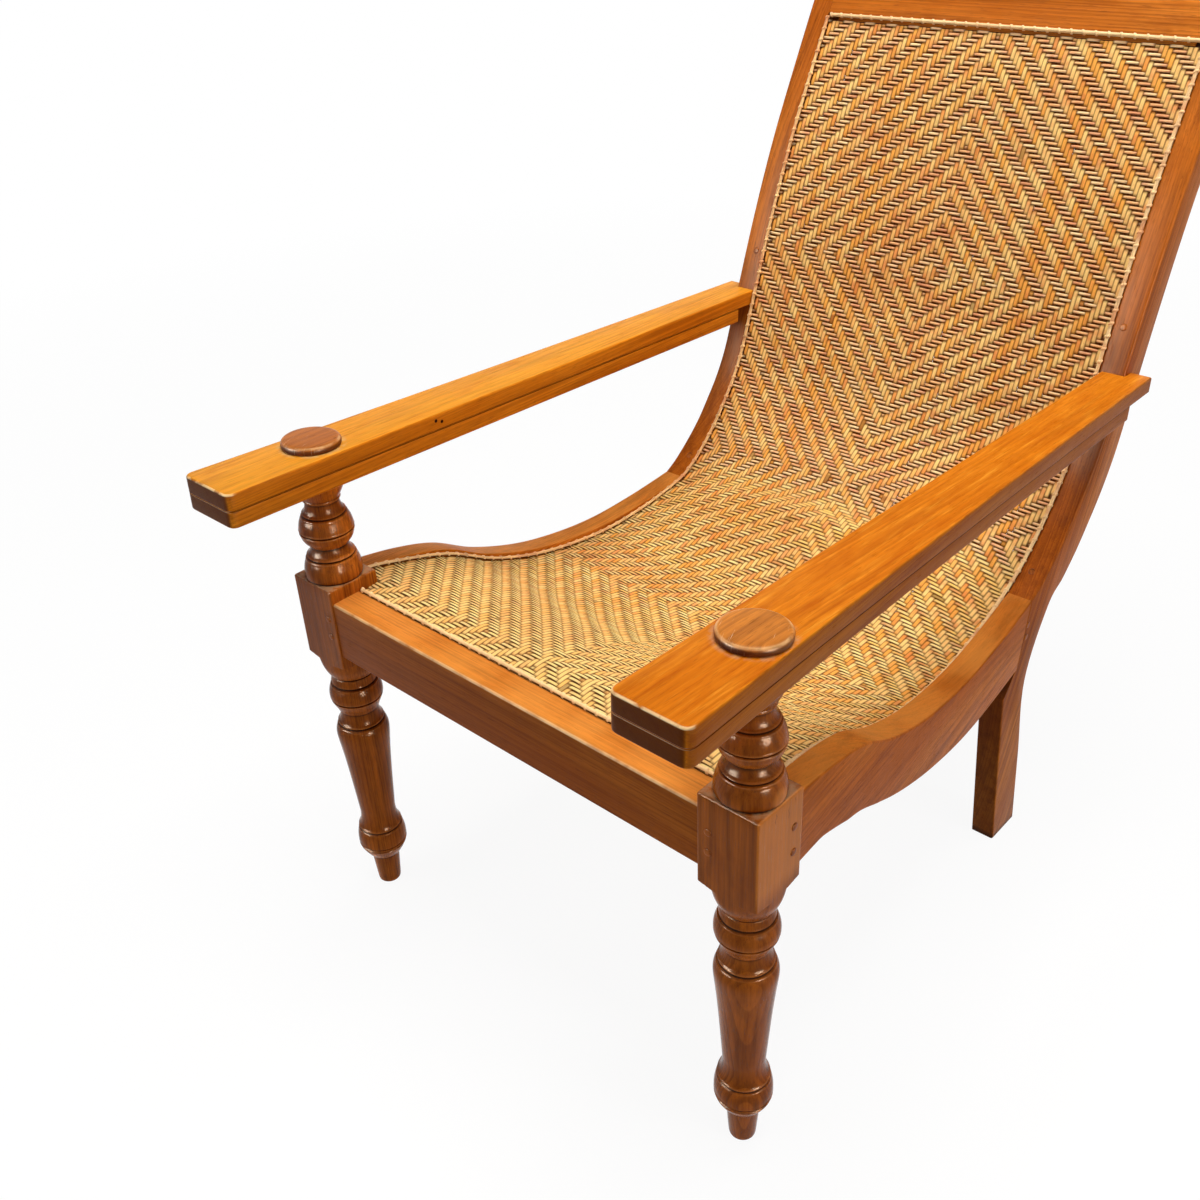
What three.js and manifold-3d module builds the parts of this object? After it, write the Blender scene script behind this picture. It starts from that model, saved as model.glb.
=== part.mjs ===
// Planters chair: a low armchair with a raked cane seat and back in one sweep, turned front legs, and
// flat arms that each carry a leg rest, a second board that swings forward about the front post.
// Millimetres, +Z up. The chair faces -Y, and right is +X, as seen from in front of it.
// The origin is on the floor, under the middle of the chair's box.

import * as THREE from "three";
import { mergeVertices } from "three/addons/utils/BufferGeometryUtils.js";
import Module from "manifold-3d";

const wasm = await Module();
wasm.setup();

// Front posts
const legSpread = 572; // axis to axis
const blockWidth = 65;
const blockDepth = 64;
const turnedLegHeight = 331; // floor to the foot of the block's tongues
const tongueHeight = 28; // foot of the tongues to the full square
const blockHeight = 101; // the full square
const balusterHeight = 117; // top of the block to the underside of the leg rest
const turningRadius = 31.3; // widest bead of the leg
const spindleRadius = 14;

// Front rail
const frontRailDrop = 15.3; // below the top of the blocks
const frontRailHeight = 69.5;
const frontRailSetback = 1.5; // behind the front of the blocks
const frontRailLand = 36; // bare top, in front of the cane

// Side rails
const timberThickness = 30; // side rails and rear posts
const railInset = 4.5; // outer face behind the block's outer face, at the block
const railRun = 523; // block to rear post, along Y
const railDepth = 82;
const sideRailDrop = 11; // top of the rail below the top of the block
const seatFall = 96; // from there to the lowest point of the rail
const jointRise = 14.5; // lowest point to the top of the joint with the rear post
const jointLean = 15; // top of that joint behind its foot

// Rear posts
const backRun = 345; // joint to the top of the back, along Y
const backRise = 617; // joint to the top of the back, along Z
const postSpread = 550; // over the outer faces
const postDepthLow = 56;
const postDepthTop = 36;
const kneeHeight = 245;
const kneeForward = 35; // knee in front of the foot
const footSetback = 2; // front edge of the foot in front of the top of the joint
const footDepth = 56;

// Cane and the rebates that hold it
const ledgeWidth = 14;
const ledgeDepth = 22;
const rebateDepth = 4;
const seatDip = 9; // how much deeper the rebate is in the middle of the seat
const caneThickness = 3;
const bendBridge = 32; // how far the taut cane stands off the bend in the rails, at mid width
const binderRadius = 2.4;
const binderClearance = 0.7;

// Cross rails of the back
const crestHeight = 64; // along Z
const crestThickness = 28;
const crossRailWidth = 50;
const crossRailThickness = 20;
const crossRailGap = 1; // behind the ledges
const middleRailRise = 271.5; // above the joint of rail and post
const rearRailRise = 18.5;

// Arms, leg rests and caps
const boardThickness = 18.6;
const armSlope = 0.035; // fall to the rear
const armInner = 39; // post axis to the inner edge
const armFrontWidth = 78.5;
const armRearWidth = 52;
const armFrontReach = 128.4;
const armEar = 18; // end of the ear behind the front of the rear post
const legRestSetback = 20; // rear end in front of the rear post
const boardCorner = 10;
const capRadius = 31.5;
const capHeight = 9;

// Joints
const tenonThickness = 12;
const tenonLength = 28;
const tenonShoulder = 12;
const crossTenonLength = 18;
const pegRadius = 4;
const pegLength = 36; // pegs of the front blocks
const railEndPegLength = 25;
const crossPegLength = 42; // pegs of the rear and the middle rail
const crestPegLength = 24;
const pegProud = 0.4;
const pegSetback = 12; // from the shoulder of the joint
const jointGap = 0.3;
const runningGap = 0.4;
const overrun = 5; // how far a cutter passes what it cuts

// Fineness of the round forms
const turningSides = 12;
const roundSides = 20;
const pegSides = 8;
const cordSteps = 3; // half the sides of a binder
const railStepsPerSpan = 2;
const backStepsPerSpan = 2;
const panelColumns = 6;
const binderSteps = 40;
const cornerSteps = 6;
const weldTolerance = 1e-4;

// Turned leg: share of turnedLegHeight, share of turningRadius
const legTurningShares = [
  [0, 0.45], [0.103, 0.53], [0.106, 0.61], [0.112, 0.655], [0.136, 0.77], [0.157, 0.865],
  [0.16, 0.84], [0.163, 0.875], [0.19, 0.935], [0.218, 0.95], [0.238, 0.92], [0.242, 0.88],
  [0.251, 0.88], [0.254, 0.9], [0.275, 0.8], [0.296, 0.735], [0.695, 0.968], [0.728, 0.99],
  [0.749, 0.968], [0.752, 0.925], [0.758, 0.945], [0.776, 0.88], [0.792, 0.847], [0.813, 0.875],
  [0.84, 0.94], [0.858, 0.975], [0.864, 0.94], [0.87, 0.985], [0.893, 1], [0.915, 0.99],
  [0.934, 0.967], [0.937, 0.93], [0.943, 0.95], [0.961, 0.9], [0.982, 0.862], [1, 0.862],
];

// Foot of the tongues: share of tongueHeight, share of turningRadius
const tongueShares = [[0.1, 0.914], [0.25, 0.946], [0.43, 0.958]];

// Baluster: share of balusterHeight, share of turningRadius
const balusterShares = [
  [0, 0.99], [0.05, 1.02], [0.085, 1], [0.107, 0.978], [0.111, 0.945], [0.12, 0.958],
  [0.154, 0.856], [0.197, 0.767], [0.231, 0.72], [0.25, 0.776], [0.269, 0.776], [0.275, 0.79],
  [0.316, 0.847], [0.368, 0.914], [0.376, 0.89], [0.385, 0.923], [0.427, 0.942], [0.474, 0.946],
  [0.521, 0.933], [0.551, 0.907], [0.558, 0.88], [0.573, 0.83], [0.607, 0.767], [0.658, 0.67],
  [0.726, 0.59], [0.745, 0.625], [0.763, 0.625], [0.77, 0.595], [0.812, 0.645], [0.88, 0.783],
  [0.94, 0.86], [1, 0.895], [1.03, 0.895],
];

// Top of the side rail: share of railRun, share of seatFall above the lowest point.
// The last point is the joint, where jointRise takes over.
const railTopShares = [
  [0, 1], [0.12, 0.9], [0.23, 0.73], [0.34, 0.41], [0.47, 0.165], [0.6, 0.04], [0.73, 0], [0.87, 0.055],
];

// Depth of the side rail: share of railRun, share of railDepth
const railDepthShares = [
  [0, 1.04], [0.09, 0.97], [0.19, 1.03], [0.33, 0.93], [0.47, 0.94], [0.59, 0.98], [0.78, 1.05], [1, 1.11],
];

// Front of the rear post: share of backRun, share of backRise
const backShares = [
  [0, 0], [0.06, 0.019], [0.139, 0.053], [0.206, 0.088], [0.264, 0.127], [0.317, 0.166], [0.36, 0.206],
  [0.395, 0.25], [0.447, 0.333], [0.557, 0.5], [0.676, 0.657], [0.815, 0.809], [1, 1],
];

// Stand-off of the cane at mid width: share of its length, share of bendBridge
const bridgeShares = [
  [0, 0], [0.03, 0], [0.12, -0.2], [0.3, -0.15], [0.36, 0.15], [0.4, 0.6], [0.45, 1], [0.53, 1],
  [0.58, 0.5], [0.65, 0.2], [0.72, -0.25], [0.87, -0.35], [0.97, 0], [1, 0],
];

// Outer edge of the arm: how far along, and how much of the taper is left, at the bend of its curve
const armBendShare = 0.41;
const armTaperShare = 0.374;

// Cap: share of capRadius, share of capHeight
const capShares = [[0, 0], [0.97, 0], [1, 0.12], [1, 0.72], [0.99, 0.9], [0.96, 1], [0, 1]];

// Finishes
const polish = { roughness: 0.35, metalness: 0 };
const paleWood = new THREE.MeshStandardMaterial({ color: 0xb5702f, ...polish });
const brownWood = new THREE.MeshStandardMaterial({ color: 0x8a4a1e, ...polish });
const darkWood = new THREE.MeshStandardMaterial({ color: 0x6a3413, ...polish });
const pegWood = new THREE.MeshStandardMaterial({ color: 0x5a2c12, ...polish });
const cane = new THREE.MeshStandardMaterial({ color: 0xc8964f, roughness: 0.55, metalness: 0 });
const binderCane = new THREE.MeshStandardMaterial({ color: 0xb98365, roughness: 0.5, metalness: 0 });

// Places that follow from the sizes
const postX = legSpread / 2;
const blockBack = blockDepth / 2;
const blockInner = postX - blockWidth / 2;
const blockOuter = postX + blockWidth / 2;
const blockBottom = turnedLegHeight + tongueHeight;
const blockTop = blockBottom + blockHeight;
const bellTop = blockTop + balusterHeight;
const armTop = bellTop + runningGap + boardThickness + runningGap + boardThickness;
const armTilt = Math.atan(armSlope);
const frontRailFront = frontRailSetback - blockBack;
const caneFront = frontRailFront + frontRailLand;
const frontRailTop = blockTop - frontRailDrop;
const frontRailBottom = frontRailTop - frontRailHeight;
const seatFrontHeight = blockTop - sideRailDrop;
const postOuter = postSpread / 2;
const postInner = postOuter - timberThickness;
const railOuterFront = blockOuter - railInset;
const railTaper = (railOuterFront - postOuter) / railRun;
const seatLow = seatFrontHeight - seatFall;
const joint = { y: blockBack + railRun, z: seatLow + jointRise };
const backTop = joint.z + backRise;
const middleRailHeight = joint.z + middleRailRise;
const rearRailHeight = joint.z + rearRailRise;
const caneTop = backTop - crestHeight;
const crossRailSetback = rebateDepth + ledgeDepth + crossRailGap;

// A closed geometry as a solid that can be joined and cut
function solidOf(geometry, place = new THREE.Matrix4()) {
  const bare = geometry.clone().applyMatrix4(place);
  bare.deleteAttribute("normal");
  bare.deleteAttribute("uv");
  const merged = mergeVertices(bare, weldTolerance);
  const corners = [];
  for (let i = 0; i < merged.index.count; i += 3) {
    const triangle = [0, 1, 2].map((k) => merged.index.getX(i + k));
    if (new Set(triangle).size === triangle.length) corners.push(...triangle);
  }
  const vertProperties = merged.attributes.position.array;
  const triVerts = Uint32Array.from(corners);
  return new wasm.Manifold(new wasm.Mesh({ numProp: 3, vertProperties, triVerts }));
}

// A solid as a named mesh, whose own origin is at the given place
function piece(name, solid, material, at = new THREE.Vector3()) {
  const { vertProperties, numProp, triVerts } = solid.getMesh();
  const geometry = new THREE.BufferGeometry();
  geometry.setAttribute("position", new THREE.BufferAttribute(vertProperties, numProp));
  geometry.setIndex(new THREE.BufferAttribute(triVerts, 1));
  geometry.translate(-at.x, -at.y, -at.z);
  geometry.computeVertexNormals();
  const mesh = new THREE.Mesh(geometry, material);
  mesh.name = name;
  mesh.position.copy(at);
  return mesh;
}

// The left-hand twin of a right-hand piece
function mirrored(mesh, name) {
  const geometry = mesh.geometry.clone().scale(-1, 1, 1);
  const corners = geometry.index.array;
  for (let i = 0; i < corners.length; i += 3) [corners[i], corners[i + 1]] = [corners[i + 1], corners[i]];
  geometry.computeVertexNormals();
  const twin = new THREE.Mesh(geometry, mesh.material);
  twin.name = name;
  twin.position.set(-mesh.position.x, mesh.position.y, mesh.position.z);
  return twin;
}

// A box between two corners
function box(low, high) {
  const size = high.map((value, axis) => value - low[axis]);
  const centre = high.map((value, axis) => (value + low[axis]) / 2);
  return new THREE.BoxGeometry(...size).translate(...centre);
}

// The same box with a clearance all round, for a mortise
function roomFor(low, high) {
  return box(low.map((value) => value - jointGap), high.map((value) => value + jointGap));
}

// A board sawn to an outline in Y and Z, between two places along X
const acrossX = new THREE.Matrix4().makeBasis(
  new THREE.Vector3(0, 1, 0), new THREE.Vector3(0, 0, 1), new THREE.Vector3(1, 0, 0));
function sawn(outline, fromX, toX) {
  const shape = new THREE.Shape(outline.map((point) => new THREE.Vector2(point.y, point.z)));
  const board = new THREE.ExtrudeGeometry(shape, { depth: toX - fromX, bevelEnabled: false });
  return board.applyMatrix4(acrossX).translate(fromX, 0, 0);
}

// A turned form about Z from points of radius and height
function turned(points, sides) {
  const outline = points.map(([radius, height]) => new THREE.Vector2(radius, height));
  return new THREE.LatheGeometry(outline, sides).rotateX(Math.PI / 2);
}

// Value of a table of [x, value] pairs at x, straight between its entries
function read(table, x) {
  const last = table.length - 1;
  const found = table.findIndex(([entry]) => entry >= x);
  const next = found < 0 ? last : Math.max(found, 1);
  const [[x0, value0], [x1, value1]] = [table[next - 1], table[next]];
  return THREE.MathUtils.mapLinear(THREE.MathUtils.clamp(x, x0, x1), x0, x1, value0, value1);
}

// Points of a smooth line through the given ones, each with its direction
function smoothRows(points, stepsPerSpan) {
  const curve = new THREE.SplineCurve(points.map(({ y, z }) => new THREE.Vector2(y, z)));
  const steps = (points.length - 1) * stepsPerSpan;
  return Array.from({ length: steps + 1 }, (_, step) => {
    const point = curve.getPoint(step / steps);
    const direction = curve.getTangent(step / steps);
    return { y: point.x, z: point.y, along: { y: direction.x, z: direction.y } };
  });
}

// A row's point moved off its line, towards the sitter where the distance is positive
function offLine(row, distance) {
  return { ...row, y: row.y - distance * row.along.z, z: row.z + distance * row.along.y };
}

// Top line of the rails, and front line of the posts
const railTopPoints = railTopShares.map(([run, fall]) => (
  { y: blockBack + run * railRun, z: seatLow + fall * seatFall }));
const railRows = smoothRows([...railTopPoints, joint], railStepsPerSpan);
const backRows = smoothRows(backShares.map(([run, rise]) => (
  { y: joint.y + run * backRun, z: joint.z + rise * backRise })), backStepsPerSpan);

// How far the cane's rebate lies below the top of the side rail
function rebateAt(row) {
  const share = (row.y - blockBack) / railRun;
  return rebateDepth + seatDip * (1 - (2 * share - 1) ** 4);
}

// Underside of the cane along its edges: front rail, side rails, rear posts
const seatCaneRows = railRows.slice(1, -1).map((row) => ({ ...row, z: row.z - rebateAt(row) }));
const backCaneRows = backRows.map((row) => offLine(row, -rebateDepth)).filter((row) => row.z < caneTop);

// The back's front line at a height: the point and its direction
function backAt(height) {
  const next = backRows.findIndex((row) => row.z > height);
  const [low, high] = [backRows[next - 1], backRows[next]];
  const share = (height - low.z) / (high.z - low.z);
  const length = Math.hypot(high.y - low.y, high.z - low.z);
  const along = { y: (high.y - low.y) / length, z: (high.z - low.z) / length };
  return { y: THREE.MathUtils.lerp(low.y, high.y, share), z: height, along };
}

// A frame on the back's front line: Y up along it and Z towards the sitter
function backPlace(height) {
  const { y, z, along } = backAt(height);
  const towardsSitter = new THREE.Vector3(0, -along.z, along.y);
  const place = new THREE.Matrix4();
  place.makeBasis(new THREE.Vector3(1, 0, 0), new THREE.Vector3(0, along.y, along.z), towardsSitter);
  return place.setPosition(0, y, z);
}

// The side rails draw together to the rear, so the right rail is built straight and then sheared
const lean = new THREE.Matrix4().makeShear(0, 0, -railTaper, 0, 0, 0);
const toRail = new THREE.Matrix4().makeTranslation(railOuterFront, blockBack, 0)
  .multiply(lean)
  .multiply(new THREE.Matrix4().makeTranslation(0, -blockBack, 0));

// The arms, leg rests, caps and spindles are square to a plane that falls to the rear
const armPlace = new THREE.Matrix4().makeRotationX(-armTilt).setPosition(postX, 0, armTop);

// Tenons as boxes between two corners: the front rail's in the chair's frame, and the side rail's
// before it is sheared
const tenonMiddle = frontRailFront + frontRailLand / 2;
const frontTenon = {
  low: [blockInner - overrun, tenonMiddle - tenonThickness / 2, frontRailBottom + tenonShoulder],
  high: [blockInner + tenonLength, tenonMiddle + tenonThickness / 2, frontRailTop - tenonShoulder],
};
const sideTenonX = -(timberThickness - tenonThickness) / 2;
const sideTenon = {
  low: [sideTenonX - tenonThickness, blockBack - tenonLength, seatFrontHeight - railDepth + tenonShoulder],
  high: [sideTenonX, blockBack + overrun, seatFrontHeight - tenonShoulder],
};
const rearTenon = {
  low: [sideTenonX - tenonThickness, joint.y - jointLean - overrun, joint.z - railDepth + 2 * tenonShoulder],
  high: [sideTenonX, joint.y - jointLean + tenonLength, joint.z - 2 * tenonShoulder],
};

// Pegs: a name, the point at the surface, the direction that the peg is driven in, and its length
const pegs = [];

// A pair of pegs in a tenon, one above the other
function pegPair(name, tenon, x, y, into, length) {
  const middle = (tenon.low[2] + tenon.high[2]) / 2;
  const spread = (tenon.high[2] - tenon.low[2]) / 4;
  [middle + spread, middle - spread].forEach((z, i) => {
    pegs.push({ name: `${name}_${i + 1}`, at: new THREE.Vector3(x, y, z), into, length });
  });
}

// A peg driven from the front of the rear post into a cross rail
function pegInBack(name, height, length) {
  const place = backPlace(height);
  const at = new THREE.Vector3(postInner + pegSetback, 0, 0).applyMatrix4(place);
  pegs.push({ name, at, into: new THREE.Vector3().setFromMatrixColumn(place, 2).negate(), length });
}

const intoX = new THREE.Vector3(-1, 0, 0);
const intoY = new THREE.Vector3(0, 1, 0);
const railEndPegY = joint.y - jointLean + tenonLength / 2;
const crestMiddle = backTop - crestHeight / 2;
pegPair("peg_front_rail", frontTenon, blockInner + pegSetback, -blockBack, intoY, pegLength);
pegPair("peg_side_rail", sideTenon, blockOuter, blockBack - pegSetback, intoX, pegLength);
pegPair("peg_rail_end", rearTenon, postOuter, railEndPegY, intoX, railEndPegLength);
pegInBack("peg_rear_rail", rearRailHeight, crossPegLength);
pegInBack("peg_middle_rail", middleRailHeight, crossPegLength);
pegInBack("peg_crest_rail", crestMiddle, crestPegLength);

// The peg itself, or the room for it, in the chair's frame
function pegRod({ at, into, length }, spare = 0) {
  const radius = pegRadius + spare;
  const rod = new THREE.CylinderGeometry(radius, radius, length + pegProud + 2 * spare, pegSides);
  rod.translate(0, (length - pegProud) / 2, 0);
  const turn = new THREE.Quaternion().setFromUnitVectors(new THREE.Vector3(0, 1, 0), into);
  return rod.applyQuaternion(turn).translate(at.x, at.y, at.z);
}

function drilled(solid, ...names) {
  const wanted = pegs.filter((peg) => names.some((name) => peg.name.startsWith(name)));
  return wanted.reduce((rest, peg) => rest.subtract(solidOf(pegRod(peg, jointGap))), solid);
}

// Front post: turned leg, square block and turned baluster, with the spindle on top
function frontPost() {
  const corner = Math.hypot(blockWidth, blockDepth) / 2 + overrun;
  const outline = [[0, 0]];
  for (const [height, radius] of legTurningShares) outline.push([radius * turningRadius, height * turnedLegHeight]);
  for (const [height, radius] of tongueShares) {
    outline.push([radius * turningRadius, turnedLegHeight + height * tongueHeight]);
  }
  outline.push([corner, blockBottom], [corner, blockTop]);
  for (const [height, radius] of balusterShares) {
    outline.push([radius * turningRadius, blockTop + height * balusterHeight]);
  }
  outline.push([0, outline.at(-1)[1]]);
  const stock = box([-blockWidth / 2, -blockDepth / 2, -overrun], [blockWidth / 2, blockDepth / 2, armTop]);
  const toPost = new THREE.Matrix4().makeTranslation(postX, 0, 0);
  const boards = 2 * (boardThickness + runningGap);
  const seat = box([-blockWidth, -blockWidth, -boards], [blockWidth, blockWidth, blockWidth]);
  const spindle = new THREE.CylinderGeometry(spindleRadius, spindleRadius, boards + overrun, roundSides);
  spindle.rotateX(Math.PI / 2).translate(0, 0, -(boards + overrun) / 2);
  const post = solidOf(turned(outline, turningSides), toPost)
    .intersect(solidOf(stock, toPost))
    .subtract(solidOf(seat, armPlace))
    .add(solidOf(spindle, armPlace))
    .subtract(solidOf(roomFor(frontTenon.low, frontTenon.high)))
    .subtract(solidOf(roomFor(sideTenon.low, sideTenon.high), toRail));
  return drilled(post, "peg_front_rail", "peg_side_rail");
}

// Front rail, with the rebate for the cane along its rear edge
function frontRail() {
  const end = blockInner - jointGap;
  const land = box([-end, frontRailFront, frontRailBottom], [end, caneFront, frontRailTop]);
  const ledge = box([-end, caneFront - overrun, frontRailBottom],
    [end, caneFront + ledgeWidth, frontRailTop - rebateDepth]);
  const tenon = box(frontTenon.low, frontTenon.high);
  const rail = solidOf(land).add(solidOf(ledge));
  const toLeft = new THREE.Matrix4().makeTranslation(-frontTenon.low[0] - frontTenon.high[0], 0, 0);
  const both = rail.add(solidOf(tenon)).add(solidOf(tenon, toLeft));
  const left = pegs.filter((peg) => peg.name.startsWith("peg_front_rail")).map((peg) => (
    { ...peg, at: new THREE.Vector3(-peg.at.x, peg.at.y, peg.at.z) }));
  const holes = left.reduce((rest, peg) => rest.subtract(solidOf(pegRod(peg, jointGap))), both);
  return drilled(holes, "peg_front_rail");
}

// Depth of the side rail below its top line
function railDepthAt(row) {
  return railDepth * read(railDepthShares, (row.y - blockBack) / railRun);
}

// Side rail, with its ledge for the cane and a tenon at each end
function sideRail() {
  const front = { y: blockBack + jointGap, z: seatFrontHeight };
  const top = [front, ...railRows.slice(1, -1), { y: joint.y - jointGap, z: joint.z }];
  const footY = joint.y - jointLean - jointGap;
  const under = top.map((row) => {
    const y = front.y + (row.y - front.y) * (footY - front.y) / (joint.y - jointGap - front.y);
    return { y, z: row.z - railDepthAt(row) };
  });
  const board = sawn([...top, ...under.reverse()], -timberThickness, 0);
  const ledgeTop = seatCaneRows;
  const ledgeFoot = ledgeTop.map((row) => ({ y: row.y, z: row.z - ledgeDepth })).reverse();
  const ledge = sawn([...ledgeTop, ...ledgeFoot], -timberThickness - ledgeWidth, -timberThickness / 2);
  const rail = solidOf(board, toRail)
    .add(solidOf(ledge, toRail))
    .add(solidOf(box(sideTenon.low, sideTenon.high), toRail))
    .add(solidOf(box(rearTenon.low, rearTenon.high), toRail));
  return drilled(rail, "peg_side_rail", "peg_rail_end");
}

// Depth of the rear post behind its front line
function postDepthAt(row) {
  const share = (row.z - joint.z) / backRise;
  return THREE.MathUtils.lerp(postDepthLow, postDepthTop, share);
}

// Rear post: rear leg and back post in one, with the ledge for the cane
function rearPost() {
  const footY = joint.y - footSetback;
  const jointFoot = { y: joint.y - jointLean, z: joint.z - railDepthAt(joint) };
  const leg = [{ y: footY, z: 0 }, { y: footY - kneeForward, z: kneeHeight }];
  const front = [...leg, jointFoot, joint, ...backRows.slice(1)];
  const rear = [
    { y: footY + footDepth, z: 0 },
    { y: footY + footDepth - kneeForward / 2, z: kneeHeight / 2 },
    { y: footY + footDepth - kneeForward, z: kneeHeight },
    ...backRows.slice(backStepsPerSpan).filter((_, i) => i % backStepsPerSpan === 0)
      .map((row) => offLine(row, -postDepthAt(row))),
  ];
  const outline = [...front, ...smoothRows(rear, backStepsPerSpan).reverse()];
  const ledgeFoot = backCaneRows.map((row) => offLine(row, -ledgeDepth)).reverse();
  const ledge = sawn([...backCaneRows, ...ledgeFoot], postInner - ledgeWidth, postOuter - timberThickness / 2);
  const post = solidOf(sawn(outline, postInner, postOuter))
    .add(solidOf(ledge))
    .subtract(solidOf(roomFor(rearTenon.low, rearTenon.high), toRail))
    .subtract(crossTenons(jointGap, rearRailHeight, crossTenonRoom))
    .subtract(crossTenons(jointGap, middleRailHeight, crossTenonRoom))
    .subtract(crossTenons(jointGap, crestMiddle, crestTenonRoom));
  return drilled(post, "peg_rail_end", "peg_rear_rail", "peg_middle_rail", "peg_crest_rail");
}

// Where a cross rail's tenon lies in its frame on the back: low and high along the back and off it
const crossTenonRoom = {
  half: crossRailWidth / 2 - tenonShoulder,
  behind: crossRailSetback + crossRailThickness / 4,
  deep: crossRailThickness / 2,
};
const crestTenonRoom = {
  half: crestHeight / 2 - tenonShoulder,
  behind: crestThickness / 3,
  deep: crestThickness / 3,
};

// A bar through to both posts at a height of the back, which serves as tenons and as their mortises
function crossTenons(spare, height, { half, behind, deep }) {
  const reach = postInner + crossTenonLength + spare;
  return solidOf(box([-reach, -half - spare, -behind - deep - spare], [reach, half + spare, spare - behind]),
    backPlace(height));
}

// The cross rails' pegs stand at both ends
function drilledBothEnds(solid, name) {
  const [peg] = pegs.filter((each) => each.name.startsWith(name));
  const other = { ...peg, at: new THREE.Vector3(-peg.at.x, peg.at.y, peg.at.z) };
  return solid.subtract(solidOf(pegRod(peg, jointGap))).subtract(solidOf(pegRod(other, jointGap)));
}

// Straight cross rail behind the cane
function crossRail(height, pegName) {
  const end = postInner - jointGap;
  const behind = crossRailSetback;
  const half = crossRailWidth / 2;
  const rail = box([-end, -half, -behind - crossRailThickness], [end, half, -behind]);
  const solid = solidOf(rail, backPlace(height)).add(crossTenons(0, height, crossTenonRoom));
  return drilledBothEnds(solid, pegName);
}

// Crest rail: flush with the front of the posts, with the rebate for the cane along its foot
function crestRail() {
  const end = postInner - jointGap;
  const foot = backAt(caneTop + jointGap);
  const rows = [foot, ...backRows.filter((row) => row.z > caneTop + ledgeWidth)];
  const rear = rows.map((row) => offLine(row, -crestThickness)).reverse();
  const ledgeEnd = postInner - ledgeWidth - jointGap;
  const lip = [backAt(caneTop - ledgeWidth), backAt(caneTop + ledgeWidth)]
    .map((row) => offLine(row, -rebateDepth - 2 * jointGap));
  const lipRear = lip.map((row) => offLine(row, 3 * jointGap - ledgeDepth)).reverse();
  const solid = solidOf(sawn([...rows, ...rear], -end, end))
    .add(solidOf(sawn([...lip, ...lipRear], -ledgeEnd, ledgeEnd)))
    .add(crossTenons(0, crestMiddle, crestTenonRoom));
  return drilledBothEnds(solid, "peg_crest_rail");
}

// Rows of the cane sheet, front to top, each with its half width and its share of the length
function caneRows() {
  const level = { y: 1, z: 0 };
  const frontZ = frontRailTop - rebateDepth;
  const rows = [
    { y: caneFront + jointGap, z: frontZ, along: level },
    { y: caneFront + ledgeWidth, z: frontZ, along: level },
    ...seatCaneRows,
    ...backCaneRows,
  ];
  const top = offLine(backAt(caneTop), -rebateDepth);
  rows.push({ ...top, y: top.y - jointGap * top.along.y, z: top.z - jointGap * top.along.z });
  let length = 0;
  rows.forEach((row, i) => {
    if (i > 0) length += Math.hypot(row.y - rows[i - 1].y, row.z - rows[i - 1].z);
    row.at = length;
    const onRail = railOuterFront - railTaper * (row.y - blockBack) - timberThickness;
    row.half = (row.y < joint.y ? onRail : postInner) - jointGap;
  });
  for (const row of rows) row.bridge = bendBridge * read(bridgeShares, row.at / length);
  return rows;
}

const sheetRows = caneRows();

// A point on the cane's underside, or off it, at a place across the chair. It lies flat on the ledges.
function canePoint(row, x, off) {
  const free = row.half - ledgeWidth;
  const bridge = row.bridge * Math.max(0, 1 - (x / free) ** 2);
  const { y, z } = offLine(row, jointGap + bridge + off);
  return new THREE.Vector3(x, y, z);
}

// One continuous sheet: two skins, under and upper, closed round the edge
function canePanel() {
  const shares = Array.from({ length: panelColumns + 1 }, (_, i) => 2 * i / panelColumns - 1);
  const placesAcross = ({ half }) => [-half, ...shares.map((share) => share * (half - ledgeWidth)), half];
  const points = [];
  for (const off of [0, caneThickness]) {
    for (const row of sheetRows) points.push(...placesAcross(row).map((x) => canePoint(row, x, off)));
  }
  const wide = shares.length + 2;
  const long = sheetRows.length;
  const at = (skin, row, column) => (skin * long + row) * wide + column;
  const corners = [];
  const quad = (a, b, c, d) => corners.push(a, b, c, a, c, d);
  for (let row = 0; row < long - 1; row += 1) {
    for (let column = 0; column < wide - 1; column += 1) {
      quad(at(1, row, column), at(1, row, column + 1), at(1, row + 1, column + 1), at(1, row + 1, column));
      quad(at(0, row, column), at(0, row + 1, column), at(0, row + 1, column + 1), at(0, row, column + 1));
    }
    quad(at(0, row, 0), at(1, row, 0), at(1, row + 1, 0), at(0, row + 1, 0));
    quad(at(0, row + 1, wide - 1), at(1, row + 1, wide - 1), at(1, row, wide - 1), at(0, row, wide - 1));
  }
  for (let column = 0; column < wide - 1; column += 1) {
    quad(at(0, 0, column), at(0, 0, column + 1), at(1, 0, column + 1), at(1, 0, column));
    quad(at(0, long - 1, column + 1), at(0, long - 1, column), at(1, long - 1, column), at(1, long - 1, column + 1));
  }
  const sheet = new THREE.BufferGeometry().setFromPoints(points);
  sheet.setIndex(corners);
  const notch = box([blockInner - jointGap, -blockBack, blockBottom], [blockOuter, blockBack + jointGap, armTop]);
  const otherSide = new THREE.Matrix4().makeTranslation(jointGap - blockInner - blockOuter, 0, 0);
  return solidOf(sheet).subtract(solidOf(notch)).subtract(solidOf(notch, otherSide));
}

// Round cane laid along an edge of the sheet
function binder(points) {
  const section = new THREE.Shape().absarc(0, 0, binderRadius, 0, 2 * Math.PI);
  const path = new THREE.CatmullRomCurve3(points);
  const steps = points.length > 2 ? binderSteps : 1;
  return solidOf(new THREE.ExtrudeGeometry(section, { steps, curveSegments: cordSteps, extrudePath: path }));
}

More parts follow.
